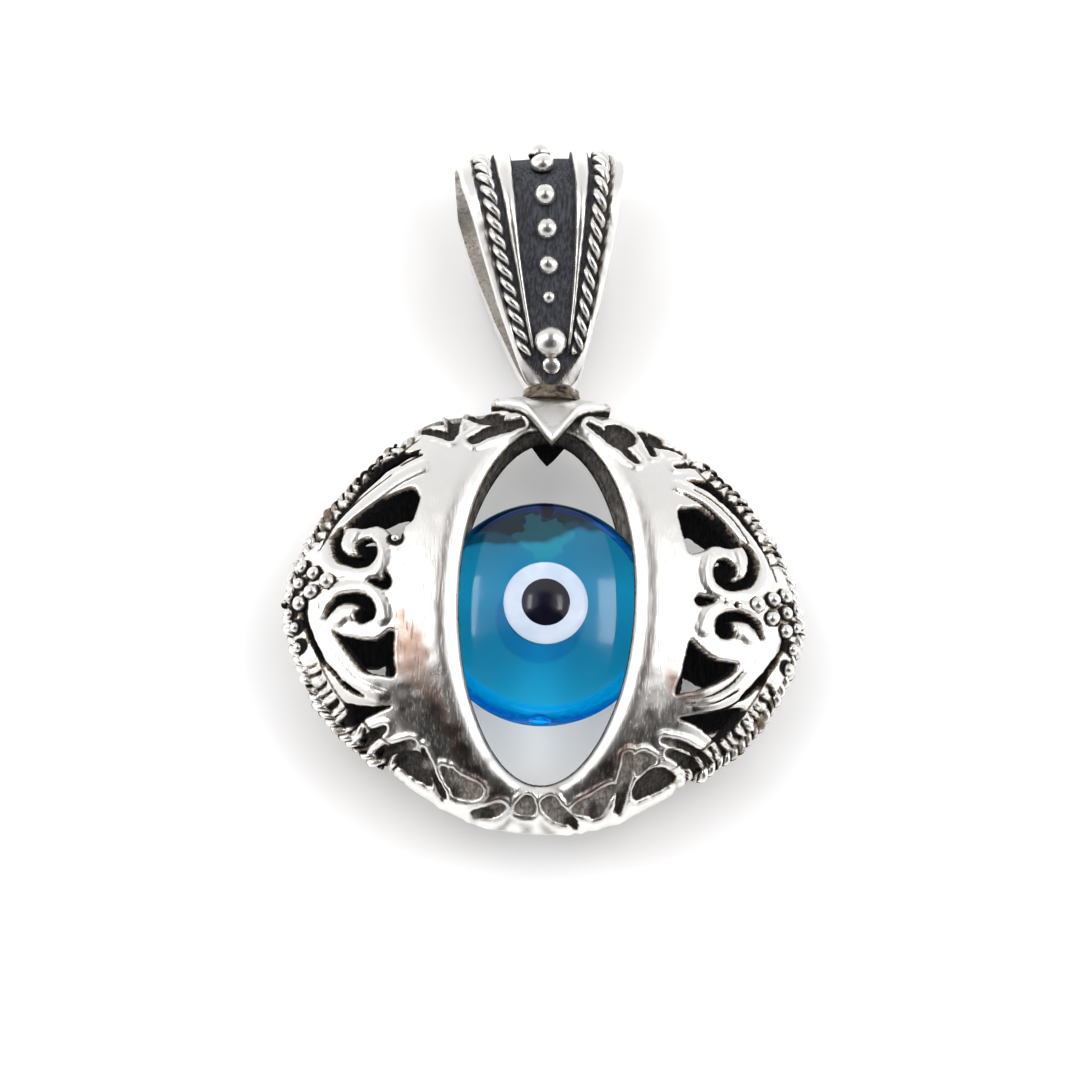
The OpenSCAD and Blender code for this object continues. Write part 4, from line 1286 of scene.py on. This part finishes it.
def neck_form():
    """The neck: a profile turned round Y that flares in a hollow curve to the collar, slightly flattened
    from front to back."""
    radius, flare, bottom, tall, bevel = 1.4, 0.3, HALF_H + 0.3, 0.66, 0.02
    height = np.linspace(0, 1, 14)
    side = np.stack([radius + flare * (1 - height) ** 2, bottom + height * tall], -1)
    top = bottom + tall + bevel
    profile = np.vstack([[0, bottom], side, [1.3, top], [0, top]])
    points, triangles = turned_form(profile, 48)
    points = points[:, [0, 2, 1]] * [1, 1, 0.96]
    # Painted shade: the whole neck is darkened by oxide of about 0.5, where it sits in the bail's shadow
    shade = 0.5 + 0.08 * ripple(points, 1.2, 4)
    return points + CASE_AT, facing_out(points - points.mean(0), triangles), shade


class BailLine:
    """The bail's middle line: straight from the foot, then round the bend to the crest, and the same
    behind. Runs count from the front foot."""

    def __init__(self, s):
        self.strip, self.ridge, self.lean = s.strip / MM, s.ridge / MM, s.lean
        self.top, self.half_width = s.height / MM, s.width / MM / 2
        self.radius = s.depth / MM / 2 - self.ridge - self.strip / 2
        self.foot = self.strip / 2 + FOOT_SLIT
        reach = math.hypot(self.top, self.foot)
        self.straight = math.sqrt(reach ** 2 - self.radius ** 2)
        self.slope = math.asin(self.radius / reach) - math.atan2(self.foot, self.top)
        self.half = self.straight + self.radius * (math.pi / 2 + self.slope)

    def width(self, share):
        """Half width at a share of the way from a foot to the crest."""
        return self.half_width * np.interp(share, *np.transpose(BAIL_WIDTHS))

    def place(self, share, x, height):
        """Points at a share of the way (1 is the crest, 2 the rear foot), x across, and a height above
        the middle line."""
        share, x, height = np.broadcast_arrays(share, x, height)
        behind = share > 1
        t = np.where(behind, 2 - share, share) * self.half
        bent = t > self.straight
        turn = -self.slope + np.where(bent, (t - self.straight) / self.radius, 0)
        y = np.where(bent, self.top + self.radius * np.sin(turn), t * math.cos(self.slope))
        z = np.where(bent, self.radius * np.cos(turn), self.foot + t * math.sin(self.slope))
        y, z = y + height * np.sin(turn), z + height * np.cos(turn)
        z = np.where(behind, -z, z)
        c, s = math.cos(self.lean), math.sin(self.lean)
        return np.stack([x * c - y * s, x * s + y * c, z], -1) + BAIL_AT

    def normal(self, share):
        """The strip's outward normal at a share of the way."""
        return unit(self.place(share, 0, 1.0) - self.place(share, 0, 0.0))


def strip_section(across, near):
    """Height of the strip's outer face, as a share of the ridge, and the oxide on it: an edge strip that
    falls outwards, a deep groove for the wire, a round ridge and the sunk channel. Towards the foot the
    edge strips grow inwards until they meet in a V."""
    u, near = np.abs(across)[None, :], near[:, None]
    channel = 0.43 - 0.075 * ramp(0.3, 1.0, near)
    ridge = 0.53 + 0.04 * ramp(0.3, 1.0, near)
    edge = (0.86 - 0.02 * near) * ramp(-0.03, 0.15, near) ** 0.8
    rim = ramp(edge, edge + 0.035, u) * (0.95 - 0.75 * ramp(edge, 1.08, u))
    middle, half = (channel + ridge) / 2, (ridge - channel) / 2
    bar = np.sqrt(np.maximum(1 - ((u - middle) / half) ** 2, 0)) ** 0.7 * ramp(0.1, 0.2, near)
    sunk = ramp(edge + 0.01, edge - 0.03, u)
    floor = sunk * (1 - ramp(0.0, 0.3, bar)) * -0.45
    return np.maximum(rim, bar) + floor, sunk * (1 - ramp(0.35, 0.75, bar))


class PENDANT_OT_bail(bpy.types.Operator):
    """The bail with its ridges and dark channel, twisted wires and granules"""
    bl_idname = "pendant.bail"
    bl_label = "Bail"

    def execute(self, context):
        line = BailLine(context.scene.pendant_bail)
        metal = silver("fluted_silver", brushing=0.8, soot=(0.05, 0.052, 0.06))
        points, triangles, shade = bail_strip(line)
        put_mesh("bail_strip", points, triangles, metal, "bail_silver", ("bail",), shade,
                 crease=math.radians(55))
        points, triangles, shade = bail_wires(line)
        put_mesh("bail_wires", points, triangles, metal, "bail_silver", ("bail",), shade)
        rows = []
        for share, size, squash in BAIL_GRAINS:
            centre = line.place(share, 0, line.strip / 2 + 0.16 * size * squash)
            rows.append((centre, size, squash, line.normal(np.array(share))))
        points, triangles = grains(rows, 41)
        put_mesh("bail_granules", points, triangles, silver("grain_silver"), "bail_silver",
                 ("bail",), grain_soot(points, rows))
        return {"FINISHED"}


def bail_strip(line):
    """The strip: its section carried along the middle line from the front foot to the rear one, with an
    uneven outer face, edges that drop a little and a plain inner face."""
    stations, across, below = 210, 121, 21
    share = np.linspace(0.004, 1.996, stations)
    u = np.linspace(-1, 1, across)
    near = np.minimum(share, 2 - share)
    wide = line.width(near)
    section, sunk = strip_section(u, near)
    spots = np.stack([u[None, :] * wide[:, None], share[:, None] * 12 + np.zeros((1, across))], -1)
    height = line.strip / 2 + line.ridge * section
    height = height + 0.012 * ripple(spots, 1.6, 9) + 0.006 * ripple(spots, 0.5, 10)
    height[:, [0, -1]] -= 0.1
    top = line.place(share[:, None], u[None, :] * wide[:, None], height)
    v = np.linspace(1, -1, below)
    base = line.place(share[:, None], v[None, :] * wide[:, None], -line.strip / 2)
    points, triangles = capped(np.concatenate([top, base], 1))
    shade = 0.04 + sunk * (0.72 + 0.08 * ripple(spots, 1.3, 12) + 0.05 * ripple(spots, 0.4, 13))
    shade[:, np.abs(u) > 0.97] = 0.12
    shade = np.concatenate([shade, np.full((stations, below), 0.3)], 1)
    shade = np.concatenate([shade.ravel(), [0.7, 0.7]])
    return points, facing_out(points - points.mean(0), triangles), np.clip(shade, 0, 1)


def bail_wires(line):
    """A wire of two twisted strands in each groove, from the feet to the crest, thicker upwards."""
    parts = []
    for side in (-1, 1):
        for start, end in ((0.12, 1.0), (1.0, 1.88)):
            share = np.linspace(start, end, 130)
            near = np.minimum(share, 2 - share)
            thick = 0.76 + 0.24 * ramp(0.1, 0.9, near)
            sunk = line.strip / 2 + line.ridge - 0.45 * thick
            path = line.place(share, side * 0.715 * line.width(near), sunk)
            parts.append(twisted(path, line.normal(share), 0.22 * thick, 0.23 * thick, 1.6, phase=1.0 + side,
                                 wobble=0.05))
    points, triangles = joined([part[:2] for part in parts])
    nips = np.concatenate([part[2] for part in parts])
    return points, triangles, np.clip(0.06 + 0.8 * nips + 0.06 * ripple(points, 0.9, 14), 0, 1)


def bead_outline():
    """Half profile of the bead from the middle of its face to its widest line: a domed face that drops by
    the square of the radius, then a shoulder along a quarter of a rounded oblong."""
    reach = BEAD_R - BEAD_SHOULDER
    r = reach * np.linspace(0, 1, BEAD_STEPS)
    face = np.stack([r, face_height(r)], -1)
    a = np.linspace(math.pi / 2, 0, BEAD_STEPS)[1:]
    rim = np.stack([reach + BEAD_SHOULDER * np.cos(a) ** 0.85, face_height(reach) * np.sin(a) ** 0.9], -1)
    return np.vstack([face, rim])


def face_height(r):
    """Height of the bead's face above its middle at the radius r."""
    return BEAD_T / 2 - BEAD_DOME * (r / (BEAD_R - BEAD_SHOULDER)) ** 2


def inlay_profile(radius, thick, rise):
    """Half profile of a flat inlay from the middle of its domed top to the middle of its underside."""
    r = np.linspace(0, 1, 24)
    top = np.stack([r * radius, face_height(r * radius) + rise * (1 - r * r) ** 0.8 + 0.02 * (r < 1)], -1)
    level = face_height(radius)
    rim = np.array([[radius, level - 0.3 * thick], [radius * 0.97, level - 0.85 * thick],
                    [radius * 0.8, level - thick], [0, level - thick]])
    return np.vstack([top, rim])


class PENDANT_OT_bead(bpy.types.Operator):
    """The glass bead with its drilled hole, and the white and the pupil inlaid in its face"""
    bl_idname = "pendant.bead"
    bl_label = "Bead"

    def execute(self, context):
        settings = context.scene.pendant_bead
        half = bead_outline()
        profile = np.vstack([half, (half * [1, -1])[-2::-1]])
        points, triangles = turned_form(profile, 180)
        points, triangles = drilled(points, triangles, settings.hole / MM / 2)
        points = points * (1 + 0.0035 * ripple(points, 6.0, 17)[:, None]) * BEAD_STRETCH
        put_mesh("bead_glass_body", points + BEAD_AT, triangles, sea_glass(settings), "blue_glass",
                 ("bead_glass",))
        milk = inlay_glass("milk_glass", (0.5, 0.6, 0.74), (0.62, 0.7, 0.82), roughness=0.12, mirror=0.25)
        ink = inlay_glass("ink_glass", (0.003, 0.003, 0.008), (0.008, 0.009, 0.022), roughness=0.09,
                          mirror=0.6)
        for name, material, slot, node, width, thick, rise in (
                ("eye_white_disc", milk, "white_glass", "eye_white", settings.white, 1.0, 0.1),
                ("eye_pupil_disc", ink, "dark_glass", "eye_pupil", settings.pupil, 0.45, 0.26)):
            points, triangles = turned_form(inlay_profile(width / MM / 2, thick, rise), 96)
            put_mesh(name, points + BEAD_AT, triangles, material, slot, (node,), crease=math.radians(60))
        return {"FINISHED"}


def drilled(points, triangles, radius):
    """The bead with a round hole drilled in from each end along Y: the mesh is cut where x^2 + z^2 is
    within the radius, and a blind tube with a rounded end goes in from each mouth."""
    points, triangles = pierced(points, triangles, np.hypot(points[:, 0], points[:, 2]) - radius)
    edges = open_edges(triangles, len(points))
    mouths = np.unique(edges)
    parts, added, start = [triangles], [], len(points)
    for sign, depth in zip((1, -1), HOLE_DEPTHS):
        ring = mouths[points[mouths, 1] * sign > 0]
        ring = ring[np.argsort(np.arctan2(points[ring, 2], points[ring, 0]))]
        t = np.linspace(0, 1, HOLE_RINGS + 2)[1:-1, None, None]
        shrink = np.sqrt(1 - t ** 4) * (1 + 0.12 * np.sin(t * 17))
        inner = points[ring][None] * np.concatenate([shrink, np.ones_like(t), shrink], 2)
        inner[..., 1] -= sign * depth * t[..., 0]
        rows = np.vstack([ring[None], start + np.arange(HOLE_RINGS * len(ring)).reshape(HOLE_RINGS, -1)])
        tip = start + HOLE_RINGS * len(ring)
        added += [inner.reshape(-1, 3), [[0, points[ring, 1].mean() - sign * depth, 0]]]
        wall = rows.reshape(-1)[grid_triangles(HOLE_RINGS + 1, len(ring), wrap_cols=True)]
        last = rows[-1]
        fan = np.stack([np.full(len(ring), tip), last, np.roll(last, -1)], -1)
        mine = set(map(tuple, edges.tolist()))
        turned = (wall[0, 0], wall[0, 1]) in mine or (ring[0], ring[1]) in mine
        parts.append(np.vstack([wall[:, ::-1], fan]) if turned else np.vstack([wall, fan[:, ::-1]]))
        start = tip + 1
    return np.vstack([points] + added), np.vstack(parts)


class PENDANT_OT_stage(bpy.types.Operator):
    """The floor, the white tent with its side lights and a wide light above, and the camera"""
    bl_idname = "pendant.stage"
    bl_label = "Stage"

    def execute(self, context):
        settings = context.scene.pendant_stage
        scene = context.scene
        floor_disc(settings)
        surroundings(settings)
        for side, x in (("left", -1), ("right", 1)):
            lamp("light_" + side, settings.side_light, (0.12, 0.3), (x * 0.45, 0.03, 0.22), (0, 0, 0))
        for side, x in (("left", -1), ("right", 1)):
            box = lamp("box_" + side, settings.box_light, (0.2, 0.06), (x * 0.2, 0.1, 0.4), (0, 0.1, 0))
            box.visible_transmission = False
        fill = lamp("light_fill", settings.fill_light, (1.2, 1.2), (0, 0.1, 1.0), (0, 0, 0), shape="DISK")
        fill.visible_glossy = False
        camera = bpy.data.cameras.new("camera")
        camera.lens = CAMERA_LENS
        camera.sensor_width = 36.0
        camera.clip_start = 0.01
        view = bpy.data.objects.new("camera", camera)
        view.matrix_world = camera_place()
        scene.collection.objects.link(view)
        scene.camera = view
        scene.view_settings.view_transform = "Standard"
        return {"FINISHED"}


def lamp(name, power, size, place, target, shape="RECTANGLE"):
    """An area light of a size at a place, turned to look at the target, all in metres."""
    light = bpy.data.lights.new(name, "AREA")
    light.shape = shape
    light.size, light.size_y = size
    light.energy = power
    obj = bpy.data.objects.new(name, light)
    obj.location = place
    obj.rotation_euler = (Vector(target) - Vector(place)).to_track_quat("-Z", "Y").to_euler()
    bpy.context.scene.collection.objects.link(obj)
    return obj


def camera_place():
    """The camera's matrix: it looks down at the pendant from slightly below and left, turned a little."""
    raised, turned, roll = (math.radians(angle) for angle in CAMERA_ANGLES)
    away = Vector((math.sin(turned) * math.cos(raised), -math.cos(turned) * math.cos(raised),
                   math.sin(raised)))
    level = Vector((-away.y, away.x, 0)).normalized()
    upright = away.cross(level)
    right = math.cos(roll) * level + math.sin(roll) * upright
    top = math.cos(roll) * upright - math.sin(roll) * level
    shift = right * CAMERA_SHIFT[0] * MM + top * CAMERA_SHIFT[1] * MM
    place = Vector(CASE_AT + CAMERA_TARGET) * MM + away * CAMERA_DISTANCE + shift
    return Matrix.Translation(place) @ Matrix((right, top, away)).transposed().to_4x4()


def floor_disc(settings):
    """A wide round floor at the height where the pendant rests: rings round a middle point, in metres."""
    sides = 64
    radii = np.array([0.03, 0.1, 0.4, 1.5, 4.0])[:, None]
    turn = TAU * np.arange(sides) / sides
    rings = np.stack([radii * np.cos(turn), radii * np.sin(turn), np.zeros((len(radii), sides))], -1)
    points = np.vstack([rings.reshape(-1, 3), [[0, 0, 0]]])
    k = np.arange(sides)
    middle = np.full(sides, len(points) - 1)
    triangles = np.vstack([grid_triangles(len(radii), sides, wrap_cols=True)[:, ::-1],
                           np.stack([middle, k, (k + 1) % sides], -1)])
    mesh = bpy.data.meshes.new("floor")
    mesh.from_pydata(points.tolist(), [], triangles.tolist())
    material, g = empty_material("floor")
    where = g.add("ShaderNodeTexCoord").outputs["Object"]
    tone = g.span(g.noise(where, 60.0), 0.3, 0.7)
    dim = tuple(0.985 * c for c in settings.floor_colour)
    colour = g.blend(tone, rgba(dim), rgba(tuple(settings.floor_colour)))
    shader = g.add("ShaderNodeBsdfPrincipled", {"Base Color": colour, "Roughness": 0.65})
    g.add("ShaderNodeOutputMaterial", {"Surface": shader.outputs[0]})
    mesh.materials.append(material)
    floor = bpy.data.objects.new("floor", mesh)
    bpy.context.scene.collection.objects.link(floor)


def surroundings(settings):
    """A white tent on both sides with a dark gap between them: narrow overhead and behind, wide in front.
    The gap's half width in X grows as Y falls, and a warm fringe runs along its border."""
    world = bpy.data.worlds.new("tent")
    world.use_nodes = True
    world.node_tree.nodes.clear()
    g = Graph(world.node_tree)
    way = g.add("ShaderNodeTexCoord").outputs["Generated"]
    x, y, z = g.add("ShaderNodeSeparateXYZ", {0: way}).outputs
    half = g.span(y, -0.22, 0.15, 0.62, 0.2)
    past = g.math("SUBTRACT", g.math("ABSOLUTE", x), half)
    low = g.math("MULTIPLY", g.span(z, 0.2, 0.6), g.span(y, 0.62, 0.4))
    dark = g.math("MULTIPLY", g.span(past, 0.05, -0.05), low)
    tent = g.blend(g.span(z, 0.0, 0.9), (0.92, 0.92, 0.93, 1), (0.82, 0.82, 0.83, 1))
    colour = g.blend(dark, tent, (0.035, 0.034, 0.034, 1))
    fringe = g.math("MULTIPLY", g.math("MULTIPLY", g.span(past, -0.07, 0.0), g.span(past, 0.09, 0.02)), low)
    colour = g.blend(g.math("MULTIPLY", fringe, 0.7), colour, (0.52, 0.34, 0.27, 1))
    seen = g.add("ShaderNodeLightPath").outputs["Is Camera Ray"]
    lit = g.add("ShaderNodeBackground", {"Color": colour, "Strength": settings.soft_light})
    plain = g.add("ShaderNodeBackground", {"Color": (0.93, 0.93, 0.93, 1), "Strength": 1.0})
    mixed = g.add("ShaderNodeMixShader", {0: seen, 1: lit.outputs[0], 2: plain.outputs[0]})
    g.add("ShaderNodeOutputWorld", {"Surface": mixed.outputs[0]})
    bpy.context.scene.world = world


class PENDANT_PT_panel(bpy.types.Panel):
    """Lists the pendant's pieces"""
    bl_idname = "PENDANT_PT_panel"
    bl_label = "Evil Eye Pendant"
    bl_space_type = "VIEW_3D"
    bl_region_type = "UI"
    bl_category = "Pendant"

    def draw(self, context):
        for operator in OPERATORS:
            self.layout.operator(operator.bl_idname)


OPERATORS = (PENDANT_OT_case, PENDANT_OT_edge, PENDANT_OT_collar, PENDANT_OT_bail, PENDANT_OT_bead,
             PENDANT_OT_stage)
GROUPS = {"pendant_case": PendantCase, "pendant_bail": PendantBail, "pendant_bead": PendantBead,
          "pendant_stage": PendantStage}


def register():
    for kind in (*GROUPS.values(), *OPERATORS, PENDANT_PT_panel):
        bpy.utils.register_class(kind)
    for name, group in GROUPS.items():
        setattr(bpy.types.Scene, name, PointerProperty(type=group))


def unregister():
    for name in GROUPS:
        delattr(bpy.types.Scene, name)
    for kind in reversed((*GROUPS.values(), *OPERATORS, PENDANT_PT_panel)):
        bpy.utils.unregister_class(kind)


def main():
    """Builds every piece."""
    register()
    bpy.ops.pendant.case()
    bpy.ops.pendant.edge()
    bpy.ops.pendant.collar()
    bpy.ops.pendant.bail()
    bpy.ops.pendant.bead()
    bpy.ops.pendant.stage()


if __name__ == "__main__":
    main()
